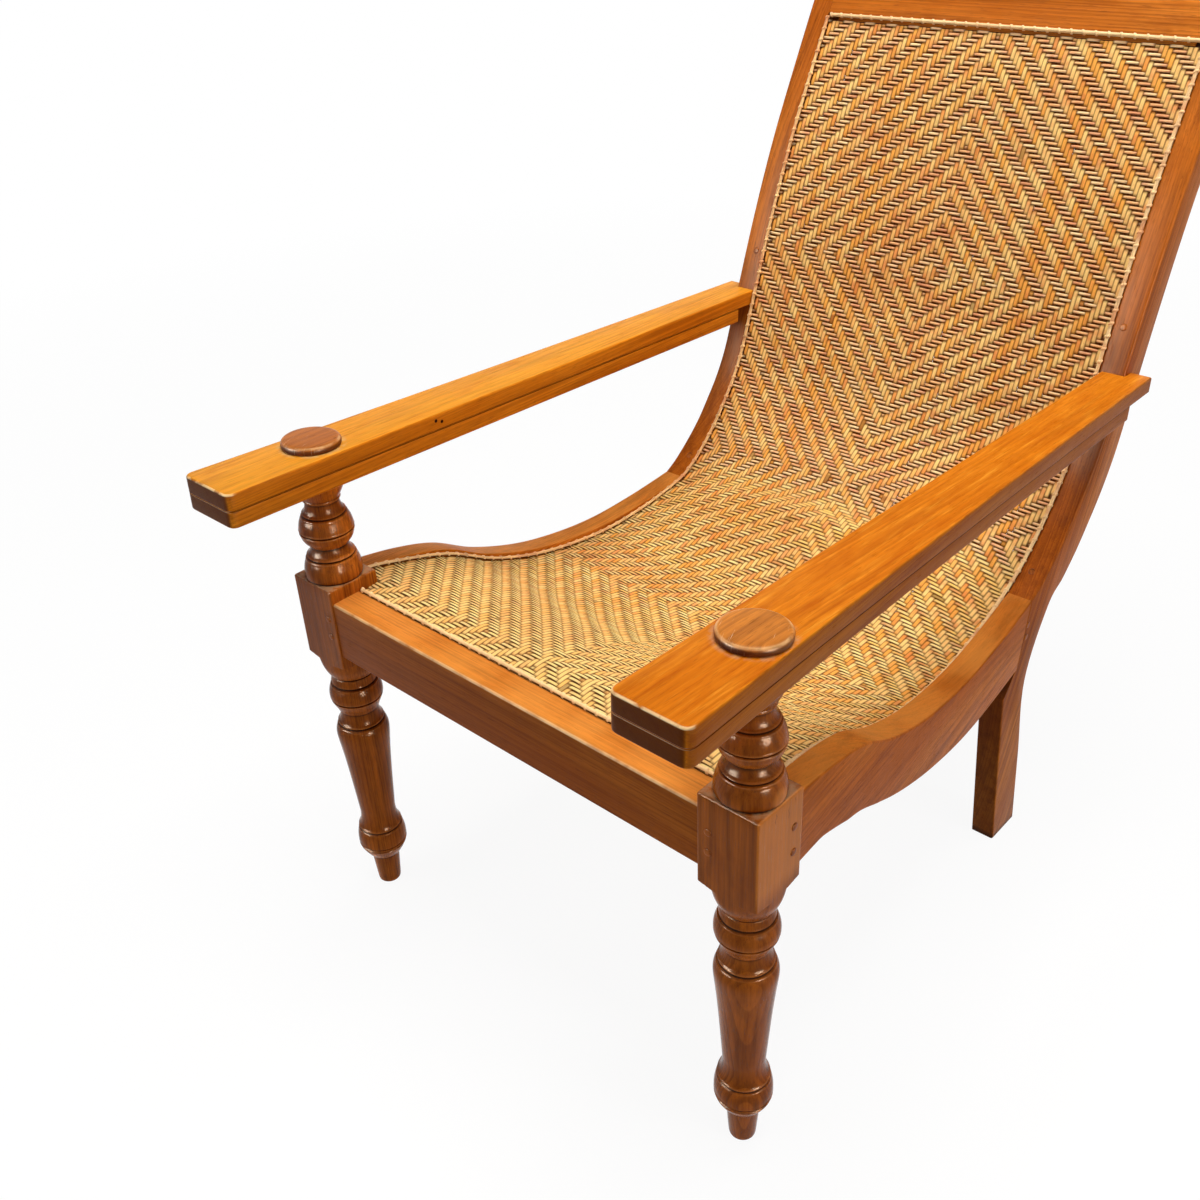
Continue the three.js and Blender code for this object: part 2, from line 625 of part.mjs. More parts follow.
const binderLift = caneThickness + binderClearance + binderRadius;
function sideBinder() {
  const rows = sheetRows.filter((row) => row.y > blockBack + overrun);
  const inset = binderRadius + binderClearance;
  return binder(rows.map((row) => canePoint(row, row.half - inset, binderLift)));
}

// A straight binder between the two side ones, a little inside an end row of the sheet
function crossBinder(row, halfLength, direction) {
  const inset = direction * (binderRadius + binderClearance);
  const { y, z } = offLine(row, jointGap + binderLift);
  const place = { y: y + inset * row.along.y, z: z + inset * row.along.z };
  return binder([-1, 1].map((side) => new THREE.Vector3(side * halfLength, place.y, place.z)));
}

// How far behind the spindle a level of the arm, counted down from its top, meets the rear post
function reachAt(level) {
  const nearly = backAt(armTop).y;
  return backAt(armTop - level - armSlope * nearly).y;
}

// Outline of an arm or a leg rest, in its own plane with the spindle at the origin
function boardOutline(rearReach) {
  const shape = new THREE.Shape();
  const outerFront = armFrontWidth - armInner;
  const taper = armFrontWidth - armRearWidth;
  const outerRear = outerFront - taper;
  const bendY = THREE.MathUtils.lerp(-armFrontReach, rearReach, armBendShare);
  shape.moveTo(-armInner, rearReach);
  shape.lineTo(-armInner, -armFrontReach + boardCorner);
  shape.quadraticCurveTo(-armInner, -armFrontReach, -armInner + boardCorner, -armFrontReach);
  shape.lineTo(outerFront - boardCorner, -armFrontReach);
  shape.quadraticCurveTo(outerFront, -armFrontReach, outerFront, -armFrontReach + boardCorner);
  shape.quadraticCurveTo(outerRear + taper * armTaperShare, bendY, outerRear, rearReach);
  return shape;
}

// A board of the arm, its top at the given height in the arm's own frame
function board(rearReach, top) {
  const depth = boardThickness;
  const options = { depth, bevelEnabled: false, curveSegments: cornerSteps };
  const plank = new THREE.ExtrudeGeometry(boardOutline(rearReach), options);
  const radius = spindleRadius + 2 * runningGap;
  const hole = new THREE.CylinderGeometry(radius, radius, 2 * boardThickness, roundSides).rotateX(Math.PI / 2);
  return solidOf(plank.translate(0, 0, top - boardThickness)).subtract(solidOf(hole.translate(0, 0, top)));
}

// The arm is notched round the rear post, whose front line is set forward by the joint's gap
function arm() {
  const front = backRows.map((row) => ({ y: row.y - jointGap, z: row.z }));
  const behind = [{ y: joint.y + 2 * backRun, z: backTop }, { y: joint.y + 2 * backRun, z: joint.z }];
  const post = sawn([...front, ...behind], postInner - armFrontWidth, postOuter + jointGap);
  return board(reachAt(0) + armEar, 0).subtract(solidOf(post, armPlace.clone().invert()));
}

const chair = new THREE.Group();
const pair = (name, solid, material, at) => {
  const right = piece(`${name}_right`, solid, material, at);
  chair.add(right, mirrored(right, `${name}_left`));
};

pair("front_post", frontPost(), darkWood, new THREE.Vector3(postX, 0, 0));
chair.add(piece("front_rail", frontRail(), brownWood, new THREE.Vector3(0, frontRailFront, frontRailTop)));
pair("side_rail", sideRail(), brownWood, new THREE.Vector3(railOuterFront, blockBack, seatFrontHeight));
pair("rear_post", rearPost(), brownWood, new THREE.Vector3(postOuter, joint.y, joint.z));
chair.add(piece("crest_rail", crestRail(), brownWood));
chair.add(piece("middle_rail", crossRail(middleRailHeight, "peg_middle_rail"), brownWood));
chair.add(piece("rear_rail", crossRail(rearRailHeight, "peg_rear_rail"), brownWood));
chair.add(piece("cane_panel", canePanel(), cane));
pair("binder", sideBinder(), binderCane);
chair.add(piece("binder_front", crossBinder(sheetRows[0], blockInner - overrun, 1), binderCane));
const topEnd = postInner - 2 * (binderRadius + binderClearance) - binderClearance;
chair.add(piece("binder_top", crossBinder(sheetRows.at(-1), topEnd, -1), binderCane));
for (const peg of pegs) pair(peg.name, solidOf(pegRod(peg)), pegWood, peg.at);

// Arms, leg rests and caps, each side in a group of its own that is tilted like the arm
const legRestReach = reachAt(2 * boardThickness) - legRestSetback;
const armPieces = [
  piece("arm_right", arm(), paleWood),
  piece("leg_rest_right", board(legRestReach, -boardThickness - runningGap), paleWood),
  piece("arm_cap_right", solidOf(turned(capShares.map(([radius, height]) => (
    [radius * capRadius, height * capHeight])), roundSides)), darkWood),
];
armPieces.at(-1).position.z = runningGap;
for (const side of [1, -1]) {
  const group = new THREE.Group();
  for (const mesh of armPieces) {
    const twin = side > 0 ? mesh : mirrored(mesh, mesh.name.replace("right", "left"));
    group.add(twin);
  }
  group.position.set(side * postX, 0, armTop);
  group.rotation.x = -armTilt;
  chair.add(group);
}

// The origin goes under the middle of the box
chair.updateMatrixWorld(true);
const reach = new THREE.Box3().setFromObject(chair, true);
chair.position.y = -(reach.min.y + reach.max.y) / 2;
const group = new THREE.Group();
group.add(chair);

export default group;
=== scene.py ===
# %% [markdown]
# # A planters chair
# A low hardwood armchair: turned front posts, curved side rails, raked rear posts, a woven cane sheet
# that runs down the back and over the seat, and two flat arms. Under each arm lies a leg rest, a second
# board that swings forward about the spindle of the front post.
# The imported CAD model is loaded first, as a fixed frame. Every piece made here stands for a part of it,
# lies where that part lies, and rides on the same body.

# %% Load the frame
import math

import bpy
import numpy as np
from mathutils import Matrix, Vector


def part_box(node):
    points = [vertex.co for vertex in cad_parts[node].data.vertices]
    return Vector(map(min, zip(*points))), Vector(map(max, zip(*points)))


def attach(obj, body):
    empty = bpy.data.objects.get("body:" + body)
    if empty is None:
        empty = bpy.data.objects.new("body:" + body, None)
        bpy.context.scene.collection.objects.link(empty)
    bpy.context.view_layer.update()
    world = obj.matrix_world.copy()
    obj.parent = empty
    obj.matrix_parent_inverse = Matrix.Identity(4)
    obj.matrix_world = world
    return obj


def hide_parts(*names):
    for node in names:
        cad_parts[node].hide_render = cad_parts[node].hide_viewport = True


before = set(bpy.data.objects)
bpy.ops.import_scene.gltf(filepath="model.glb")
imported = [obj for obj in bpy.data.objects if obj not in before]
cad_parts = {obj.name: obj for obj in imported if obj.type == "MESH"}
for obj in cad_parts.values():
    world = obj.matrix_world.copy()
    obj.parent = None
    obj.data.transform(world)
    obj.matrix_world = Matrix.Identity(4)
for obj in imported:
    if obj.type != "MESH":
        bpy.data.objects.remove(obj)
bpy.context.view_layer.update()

# %% [markdown]
# ## The camera
# It stands in front of the chair and to its right, a little above head height for someone seated, and
# looks down on it. The place, the three turns and the focal length were worked out from the edges of
# the arms, the rail and the blocks, whose sizes are known.

# %% Camera
def turned_basis(azimuth, elevation, roll):
    """Right, up and backward directions of a camera, as columns."""
    back = Vector((math.sin(azimuth) * math.cos(elevation),
                   -math.cos(azimuth) * math.cos(elevation), math.sin(elevation)))
    level = Vector((math.cos(azimuth), math.sin(azimuth), 0))
    lift = back.cross(level)
    right = math.cos(roll) * level + math.sin(roll) * lift
    up = -math.sin(roll) * level + math.cos(roll) * lift
    return Matrix((right, up, back)).transposed()


def placed(name, data):
    """A new object in the scene."""
    thing = bpy.data.objects.new(name, data)
    bpy.context.scene.collection.objects.link(thing)
    return thing


camera_data = bpy.data.cameras.new("camera")
camera_data.sensor_width = 36
camera_data.lens = 37.86
camera = placed("camera", camera_data)
camera.matrix_world = Matrix.Translation((0.7666, -1.0645, 1.1664)) @ turned_basis(
    math.radians(44.20), math.radians(32.21), math.radians(-3.055)).to_4x4()
bpy.context.scene.camera = camera
print("camera at", tuple(round(value, 3) for value in camera.location))

# %% [markdown]
# ## Light
# Wood and cane show their colour best under one large soft light from above. A weaker one from the
# right and a faint one from the left front keep the sides of the posts from going black. Polished
# turnings also need something bright to mirror, so two panes in front show only as reflections.

# %% Soft light
def soft_light(name, place, aim, size, watts, tint=(1, 1, 1)):
    """A square area light that looks at a point."""
    data = bpy.data.lights.new(name, "AREA")
    data.size, data.energy, data.color = size, watts, tint
    light = placed(name, data)
    light.location = place
    light.rotation_euler = (Vector(aim) - Vector(place)).to_track_quat("-Z", "Y").to_euler()
    return light


seat_height, post_height = (0, 0, 0.4), (0, 0, 0.35)
soft_light("overhead", (0.1, 0.0, 3.0), seat_height, 1.8, 84, (1, 0.98, 0.95))
soft_light("right_side", (2.6, 0.3, 1.5), seat_height, 0.6, 14, (1, 0.99, 0.97))
soft_light("left_front", (-2.2, -2.0, 1.6), seat_height, 0.6, 2, (1, 0.99, 0.97))
for name, place, size, watts in (("left_pane", (-1.5, -3.0, 1.6), 1.8, 1000),
                                 ("right_pane", (2.8, -0.7, 0.9), 1.2, 420)):
    soft_light(name, place, post_height, size, watts).visible_diffuse = False

# %% [markdown]
# ## Trees of nodes
# The background, the floor, every finish and every recipe for a mesh are trees of nodes. Each node
# could be added, set and linked line by line, but a long tree is then hard to read. The sheet below
# does all three in one call, and gives back what comes out of the node, so a tree reads like a sum.

# %% A sheet for trees
class Sheet:
    """A node tree to write on: every call adds a node and gives back what comes out of it."""

    def __init__(self, tree):
        self.tree, self.nodes, self.links = tree, tree.nodes, tree.links

    def put(self, socket, value):
        if isinstance(value, bpy.types.NodeSocket):
            self.links.new(value, socket)
        elif value is not None:
            socket.default_value = value

    def node(self, kind, *values, out=0, settings=None, **sockets):
        """A node whose first sockets take the values in their order, and others by their names."""
        node = self.nodes.new(kind)
        for title, value in (settings or {}).items():
            setattr(node, title, value)
        for socket, value in zip(node.inputs, values):
            self.put(socket, value)
        self.fill(node, **sockets)
        return node.outputs[out]

    def fill(self, node, **sockets):
        """Sockets of a node that is there already, filled by their names."""
        for title, value in sockets.items():
            self.put(node.inputs[title.replace("_", " ")], value)

    def calc(self, kind, *values):
        return self.node("ShaderNodeMath", *values, settings={"operation": kind})

    def times(self, first, *others):
        for other in others:
            first = self.calc("MULTIPLY", first, other)
        return first

    def vector(self, kind, *values, out="Vector", **sockets):
        return self.node("ShaderNodeVectorMath", *values, out=out, settings={"operation": kind},
                         **sockets)

    def split(self, vector):
        return tuple(self.node("ShaderNodeSeparateXYZ", vector).node.outputs)

    def merge(self, x, y, z=0.0):
        return self.node("ShaderNodeCombineXYZ", x, y, z)

    def place(self):
        """Where a point of the piece lies, in metres."""
        return self.node("ShaderNodeTexCoord", out="Object")

    def length(self, vector):
        return self.vector("LENGTH", vector, out="Value")

    def turned(self, vector, angles, kind="POINT"):
        return self.node("ShaderNodeMapping", settings={"vector_type": kind}, Vector=vector,
                         Rotation=angles)

    def attribute(self, name):
        return self.node("ShaderNodeAttribute", out="Fac", settings={"attribute_name": name})

    def noise(self, place, scale, detail=2.0, rough=0.5, kind="3D", out="Fac"):
        place = {"W" if kind == "1D" else "Vector": place}
        return self.node("ShaderNodeTexNoise", out=out, settings={"noise_dimensions": kind},
                         Scale=scale, Detail=detail, Roughness=rough, **place)

    def range(self, value, low, high, to_low=0.0, to_high=1.0, kind="SMOOTHSTEP"):
        """From 0 at low to 1 at high, or between two other numbers."""
        return self.node("ShaderNodeMapRange", value, low, high, to_low, to_high,
                         settings={"interpolation_type": kind})

    def band(self, value, rise, fall):
        """1 between a soft rise and a soft fall, 0 outside them."""
        return self.times(self.range(value, *rise), self.range(value, *fall))

    def mix(self, share, first, second):
        mixed = self.node("ShaderNodeMix", share, out=2, settings={"data_type": "RGBA"})
        for index, tint in ((6, first), (7, second)):
            self.put(mixed.node.inputs[index], tint)
        return mixed

    def lay(self, base, tint, *shares):
        """A tint laid over the base, as strongly as the shares multiplied."""
        return self.mix(self.times(*shares), base, tint)

    def bump(self, height, distance, strength, over=None):
        return self.node("ShaderNodeBump", Height=height, Distance=distance, Strength=strength,
                         Normal=over)


def new_finish(name):
    """A new material, the sheet of its tree, and its shader."""
    finish = bpy.data.materials.new(name)
    finish.use_nodes = True
    s = Sheet(finish.node_tree)
    return finish, s, s.nodes["Principled BSDF"]


def colour(red, green, blue):
    """A colour as it is seen, from 0 to 255, as a shader takes it."""
    return tuple(((v / 255 + 0.055) / 1.055) ** 2.4 if v > 10 else v / 255 / 12.92
                 for v in (red, green, blue)) + (1.0,)


def darker(tint, share):
    return tuple(value * share for value in tint[:3]) + (1.0,)


# %% [markdown]
# ## Background and floor
# Both are white only to the camera and to mirrors. The light that reaches the chair from around it is
# much weaker, so the colours stay full. The floor keeps the chair's shadow near it and fades to plain
# white further out, so that no edge shows.

# %% White background
world = bpy.data.worlds.new("surroundings")
world.use_nodes = True
bpy.context.scene.world = world
bpy.context.scene.view_settings.view_transform = "Standard"
surroundings_light = 0.16
plain_white = (1, 1, 1, 1)


def seen_directly(s):
    """1 for rays from the camera or a mirror-like surface, 0 for light that lights the chair."""
    path = s.node("ShaderNodeLightPath").node.outputs
    seen = path["Is Camera Ray"]
    for kind in ("Is Glossy Ray", "Is Transmission Ray"):
        seen = s.calc("MAXIMUM", seen, path[kind])
    return seen


s = Sheet(world.node_tree)
surround = s.nodes["Background"]
s.fill(surround, Color=plain_white, Strength=surroundings_light)
s.fill(s.nodes["World Output"], Surface=s.node(
    "ShaderNodeMixShader", seen_directly(s), surround.outputs[0],
    s.node("ShaderNodeBackground", Color=plain_white)))
print("background:", world.name)

# %% Pale floor
floor_mesh = bpy.data.meshes.new("floor")
floor_mesh.from_pydata([(-60, -60, 0), (60, -60, 0), (60, 60, 0), (-60, 60, 0)], [], [(0, 1, 2, 3)])
floor = placed("floor", floor_mesh)
floor_paint, s, paint = new_finish("pale_floor")
floor_mesh.materials.append(floor_paint)
s.fill(paint, Roughness=0.9,
       Base_Color=s.mix(seen_directly(s), (0.45, 0.45, 0.45, 1), (0.95, 0.95, 0.95, 1)))
fade = s.range(s.length(s.place()), 1.0, 3.2, 0.92, 1.0, "LINEAR")
s.fill(s.nodes["Material Output"], Surface=s.node(
    "ShaderNodeMixShader", s.times(seen_directly(s), fade), paint.outputs[0],
    s.node("ShaderNodeEmission", Color=plain_white)))
print("floor:", floor.name)

# %% [markdown]
# ## The sizes
# The chair was drawn in millimetres from a point on the floor between the front posts. These are the
# same sizes as in the CAD model, so each piece made here lands on its solid.

# %% Sizes, in millimetres
post_x, block_wide, block_deep = 286.0, 65.0, 64.0
block_bottom, block_top, bell_top = 359.0, 460.0, 577.0
leg_height, tongue_height, baluster_height, turning_radius = 331.0, 28.0, 117.0, 31.3
board_thick, running_gap, arm_slope = 18.6, 0.4, 0.035
arm_top = bell_top + 2 * (running_gap + board_thick)
arm_tilt = math.atan(arm_slope)
tilt_cos, tilt_sin = math.cos(arm_tilt), math.sin(arm_tilt)
rail_run, rail_depth, seat_fall, timber = 523.0, 82.0, 96.0, 30.0
block_back = block_deep / 2
block_inner, block_outer = post_x - block_wide / 2, post_x + block_wide / 2
seat_front = block_top - 11
seat_low = seat_front - seat_fall
joint_y, joint_z, joint_lean = block_back + rail_run, seat_low + 14.5, 15.0
back_run, back_rise, post_outer = 345.0, 617.0, 275.0
post_inner = post_outer - timber
rail_outer = block_outer - 4.5
rail_taper = (rail_outer - post_outer) / rail_run
gap, shoulder_gap, rebate, cane_thick = 0.3, 0.15, 4.0, 3.0
ledge_wide, ledge_deep, ledge_hold = 14.0, 22.0, 6.0
back_top = joint_z + back_rise
cane_top = back_top - 64
rail_front, rail_land = 1.5 - block_back, 36.0
front_rail_top = block_top - 15.3
low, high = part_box("front_post_right")
axis_y = (low[1] + high[1]) / 2
print("front post axis lies at y =", round(axis_y, 4), "m")


def in_place(points):
    """Points in the drawing's millimetres as points of the scene."""
    points = np.asarray(points, float).reshape(-1, 3) / 1000
    return points + (0, axis_y, 0)


def on_arm(points):
    """From the arm's own frame, with its origin on top of the spindle, to the chair's right side."""
    x, y, z = np.asarray(points, float).T
    return np.column_stack([x + post_x, y * tilt_cos + z * tilt_sin,
                            z * tilt_cos - y * tilt_sin + arm_top])


# %% [markdown]
# ## Curves
# The side rail's top and the front of the rear post are drawn as smooth lines through a few points,
# each given as a share of the piece's length and height. The same kind of curve smooths the
# profile of the turned posts.

# %% A smooth line through points
def smooth(points, steps):
    """Points of the even curve through the given ones, with a number of steps between each pair."""
    points = np.asarray(points, float)
    padded = np.vstack([points[0], points, points[-1]])
    line = []
    for first, second, third, fourth in zip(padded, padded[1:], padded[2:], padded[3:]):
        for t in np.arange(steps) / steps:
            pull_in, pull_out = (third - first) / 2, (fourth - second) / 2
            line.append((2 * second - 2 * third + pull_in + pull_out) * t ** 3
                        + (3 * third - 3 * second - 2 * pull_in - pull_out) * t ** 2
                        + pull_in * t + second)
    return np.array(line + [points[-1]])


def directions(line):
    """Unit direction of a line at each of its points."""
    run = np.gradient(line, axis=0)
    return run / np.linalg.norm(run, axis=1)[:, None]


def beside(line, distance):
    """A line moved off itself, towards the sitter where the distance is positive."""
    along = directions(line)
    distance = np.broadcast_to(distance, len(line))[:, None]
    return line + distance * np.column_stack([-along[:, 1], along[:, 0]])


# %% The rail's top line and the back's front line, as (y, z)
rail_shares = [(0, 1), (0.12, 0.9), (0.23, 0.73), (0.34, 0.41), (0.47, 0.165), (0.6, 0.04),
               (0.73, 0), (0.87, 0.055)]
back_shares = [(0, 0), (0.06, 0.019), (0.139, 0.053), (0.206, 0.088), (0.264, 0.127), (0.317, 0.166),
               (0.36, 0.206), (0.395, 0.25), (0.447, 0.333), (0.557, 0.5), (0.676, 0.657),
               (0.815, 0.809), (1, 1)]
depth_shares = [(0, 1.04), (0.09, 0.97), (0.19, 1.03), (0.33, 0.93), (0.47, 0.94), (0.59, 0.98),
                (0.78, 1.05), (1, 1.11)]
rail_points = [(block_back + run * rail_run, seat_low + rise * seat_fall) for run, rise in rail_shares]
rail_line = smooth(rail_points + [(joint_y, joint_z)], 10)
back_points = [(joint_y + run * back_run, joint_z + rise * back_rise) for run, rise in back_shares]
back_line = smooth(back_points, 8)


def rail_deep(y):
    runs, deep = zip(*depth_shares)
    return rail_depth * np.interp((y - block_back) / rail_run, runs, deep)


def rail_lean(y):
    """Outer face of the side rail, which draws in to the rear."""
    return rail_outer - rail_taper * (np.asarray(y) - block_back)


print("rail points:", len(rail_line), "back points:", len(back_line))

# %% [markdown]
# ## Making meshes
# Every piece goes through one function: it puts the mesh in place, rounds off the shading, gives the
# piece its finish, lets it ride on its body and hides the CAD nodes it stands for. Most pieces come
# in pairs, so a second function makes the right-hand one and mirrors it for the left.

# %% From points and faces to a piece
def set_values(mesh, title, values):
    """A number for each point of a mesh, for a finish or a tree to read."""
    column = mesh.attributes.new(title, "FLOAT", "POINT").data
    column.foreach_set("value", np.asarray(values, np.float32))


def piece(name, points, faces, finish, stands_for, body="frame", attributes=None, crease=40):
    """A finished piece from points in millimetres and faces."""
    mesh = bpy.data.meshes.new(name)
    mesh.from_pydata(in_place(points).tolist(), [], faces)
    mesh.validate()
    for title, values in (attributes or {}).items():
        set_values(mesh, title, values)
    return dress(name, mesh, finish, stands_for, body, crease)


def dress(name, mesh, finish, stands_for, body="frame", crease=40):
    """Shading, finish, body and CAD nodes for a mesh that is already in place."""
    mesh.name = name
    mesh.shade_smooth()
    mesh.set_sharp_from_angle(angle=math.radians(crease))
    thing = placed(name, mesh)
    mesh.materials.clear()
    mesh.materials.append(finish)
    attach(thing, body)
    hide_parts(*stands_for)
    mesh.update()
    print(f"{name}: {sum(len(face.vertices) - 2 for face in mesh.polygons)} triangles")
    return thing


def mirrored(points, faces):
    """The left-hand twin of a right-hand mesh, its faces turned back to point outwards."""
    return np.asarray(points) * (-1, 1, 1), [tuple(reversed(face)) for face in faces]


def pair(name, points, faces, finish, node, body="frame", **more):
    """A piece for the right side of the chair, and its mirrored twin for the left."""
    twins = []
    for word in ("right", "left"):
        if word == "left":
            points, faces = mirrored(points, faces)
        twins.append(piece(f"{name}_{word}", points, faces, finish, [f"{node}_{word}"],
                           body.format(word), **more))
    return twins


def joined(*solids):
    """Several closed solids as one list of points and one of faces."""
    points, faces = [], []
    for more_points, more_faces in solids:
        start = len(points)
        points.extend(np.asarray(more_points).tolist())
        faces.extend(tuple(index + start for index in face) for face in more_faces)
    return np.array(points), faces


def rings(rows, count):
    """Faces between rings of points that follow one another, each of the same count."""
    return [(row * count + k, row * count + (k + 1) % count, (row + 1) * count + (k + 1) % count,
             (row + 1) * count + k) for row in range(rows - 1) for k in range(count)]


def turned_faces(rows, count):
    """Faces of a turned form: its rings, and a fan at each end round one last point on the axis."""
    foot, head, last = rows * count, rows * count + 1, (rows - 1) * count
    return (rings(rows, count) + [(foot, (k + 1) % count, k) for k in range(count)]
            + [(head, last + k, last + (k + 1) % count) for k in range(count)])


def plugged(rows, count):
    """Faces of a straight form: its rings, and one flat face at each end."""
    last = (rows - 1) * count
    return ([tuple(range(count))[::-1], tuple(range(last, last + count))] + rings(rows, count))


# %% [markdown]
# ## Sawn boards
# Rails, rear posts and arms are boards sawn to an outline, with their edges rubbed round by years of
# hands and polish. A bevel modifier could round them, but it stumbles on the tight bends of these
# outlines. Here each board is a stack of outlines instead: the first and the last few are a little
# smaller, which makes the round edge, and the two flat faces close the stack.

# %% A board as a stack of outlines
def inset(outline, distance, shares):
    """An outline, drawn anticlockwise, moved inwards. Each edge has its own share of the distance."""
    edges = np.roll(outline, -1, axis=0) - outline
    edges /= np.linalg.norm(edges, axis=1)[:, None]
    after = np.column_stack([-edges[:, 1], edges[:, 0]])
    before = np.roll(after, 1, axis=0)
    move_after = distance * np.asarray(shares, float)
    move_before = np.roll(move_after, 1)
    corner = before[:, 0] * after[:, 1] - before[:, 1] * after[:, 0]
    sharp = np.abs(corner) > 0.2
    safe = np.where(sharp, corner, 1)
    at_corner = np.column_stack([move_before * after[:, 1] - move_after * before[:, 1],
                                 before[:, 0] * move_after - after[:, 0] * move_before]) / safe[:, None]
    on_curve = (before * move_before[:, None] + after * move_after[:, None]) / 2
    return outline + np.where(sharp[:, None], at_corner, on_curve)


def board(outline_at, start, end, round_start, round_end, shares=None, steps=4):
    """A closed board between two levels. outline_at(level) gives its outline there, as an array."""
    way = np.sign(end - start)
    turn = [(1 - math.cos(a), 1 - math.sin(a)) for a in np.linspace(0, math.pi / 2, steps + 1)]
    levels = [(start + way * round_start * off, round_start * less) for off, less in turn]
    levels += [(end - way * round_end * off, round_end * less) for off, less in turn[::-1]]
    rows = []
    for level, distance in levels:
        outline = np.asarray(outline_at(level), float)
        smaller = inset(outline, distance, np.ones(len(outline)) if shares is None else shares)
        rows.append(np.column_stack([smaller, np.full(len(outline), level)]))
    faces = plugged(len(rows), len(rows[0]))
    return np.vstack(rows), faces if way > 0 else [face[::-1] for face in faces]


def bent(start, corner, end, steps):
    """Points of a curve that leaves its start towards the corner and meets its end from it."""
    t = np.linspace(0, 1, steps + 1)[:, None]
    return (1 - t) ** 2 * start + 2 * t * (1 - t) * corner + t ** 2 * end


def softened(outline, radii, steps=5):
    """An outline with some of its corners rounded. radii gives one radius for each corner."""
    outline = np.asarray(outline, float)
    points = []
    for before, corner, after, radius in zip(np.roll(outline, 1, axis=0), outline,
                                             np.roll(outline, -1, axis=0), radii):
        if not radius:
            points.append(corner)
            continue
        back, on = before - corner, after - corner
        back, on = back / np.linalg.norm(back), on / np.linalg.norm(on)
        points.extend(bent(corner + back * radius, corner, corner + on * radius, steps))
    return np.array(points)


def across(points):
    """From a board's own (y, z, x) to the chair's (x, y, z)."""
    return points[:, [2, 0, 1]]


# %% [markdown]
# ## The wood
# The chair is polished teak or something like it. Its figure is solid: the growth rings run right
# through the timber, so a curved cut shows arcs and a straight one shows stripes. That is why the
# finish is worked out from the place in space, as rings around a pith that lies outside the board,
# and not painted on the surface. Fine fibres and dark pores run along the grain.
# Colours differ by piece: the flat arms are honey, the sawn frame is brown and the turned posts are
# darker.

# %% Rings, fibres and pores
ring_wide = 0.0042


def wood(name, grain, pith, light, mid, dark, bend=0.03, gloss=0.07, turned=False, wear_and_painted_light=()):
    """A polished wood. grain turns the board's grain onto Z, in radians, and pith is where the rings
    centre, in metres off the chair's middle. wear_and_painted_light gives further touches, each a
    function: marks of use, and painted light and shade."""
    finish, s, shader = new_finish(name)
    where = s.place()
    x, y, z = s.split(s.turned(where, grain))

    def drawn_out(share):
        """The place, drawn out along the grain."""
        return s.merge(x, y, s.times(z, share))

    # Rings, bent a little and of uneven width, each with a late edge that is darker
    slow = drawn_out(0.16)
    sway = s.vector("SUBTRACT", s.noise(slow, 5.0, out="Color"), (0.5, 0.5, 0.5))
    sway_x, sway_y, _ = s.split(s.vector("SCALE", sway, Scale=bend))
    ring_x, ring_y = (s.calc("ADD", s.calc("ADD", flat, moved), centre)
                      for flat, moved, centre in ((x, sway_x, pith[0]), (y, sway_y, pith[1])))
    count = s.calc("DIVIDE", s.length(s.merge(ring_x, ring_y)), ring_wide)
    count = s.calc("FRACT", s.calc("MULTIPLY_ADD", s.noise(count, 0.21, kind="1D"), 5.0, count))
    late = s.band(count, (0.25, 0.93), (1.0, 0.94))
    patchy = s.range(s.noise(slow, 13.0, 3.0), 0.3, 0.7)
    late = s.times(late, s.calc("MULTIPLY_ADD", patchy, 0.75, 0.25))
    # Fibres, streaks, pores and clouds, each finer or coarser than the other
    fibre = s.noise(drawn_out(0.022), 620.0, 3.0, 0.6)
    streak = s.noise(drawn_out(0.035), 120.0, 3.0, 0.55)
    pore = s.range(s.noise(drawn_out(0.05), 1150.0, 1.0), 0.60, 0.70)
    cloud = s.noise(drawn_out(0.35), 48.0, 4.0, 0.65)
    base = s.mix(s.range(s.noise(slow, 7.0), 0.34, 0.66), light, mid)
    base = s.lay(base, mid, s.range(cloud, 0.42, 0.66), 0.5)
    base = s.lay(base, dark, s.range(streak, 0.42, 0.72), 0.42)
    base = s.lay(base, dark, late, 0.42)
    base = s.lay(base, dark, s.range(fibre, 0.4, 0.68), 0.2)
    base = s.lay(base, darker(dark, 0.35), pore, 0.32)
    rough = s.calc("MULTIPLY_ADD", s.noise(where, 24.0, 4.0), 0.2, 0.08 if turned else 0.24)
    rough = s.calc("ADD", rough, s.times(pore, 0.15))
    # The ends of a board drink more polish, so they are darker than its sides. The darkening is strong
    # enough to be painted shade on the front ends as well.
    normal = s.node("ShaderNodeVectorTransform", s.node("ShaderNodeNewGeometry", out="Normal"),
                    settings={"vector_type": "NORMAL", "convert_from": "WORLD", "convert_to": "OBJECT"})
    if not turned:
        along = s.split(s.turned(normal, grain, "NORMAL"))[2]
        base = s.lay(base, darker(dark, 0.42), s.range(s.calc("ABSOLUTE", along), 0.78, 0.98), 0.9)
    for touch in wear_and_painted_light:
        base, rough = touch(s, where, normal, base, rough)
    height = s.calc("SUBTRACT", s.times(fibre, 0.35), pore)
    dents = s.bump(s.noise(where, 90.0, 3.0), 0.0009, 0.25)
    s.fill(shader, Base_Color=base, Roughness=rough, Specular_IOR_Level=gloss,
           Specular_Tint=(1.0, 0.78, 0.54, 1), Normal=s.bump(height, 0.00012, 0.5, dents))
    return finish
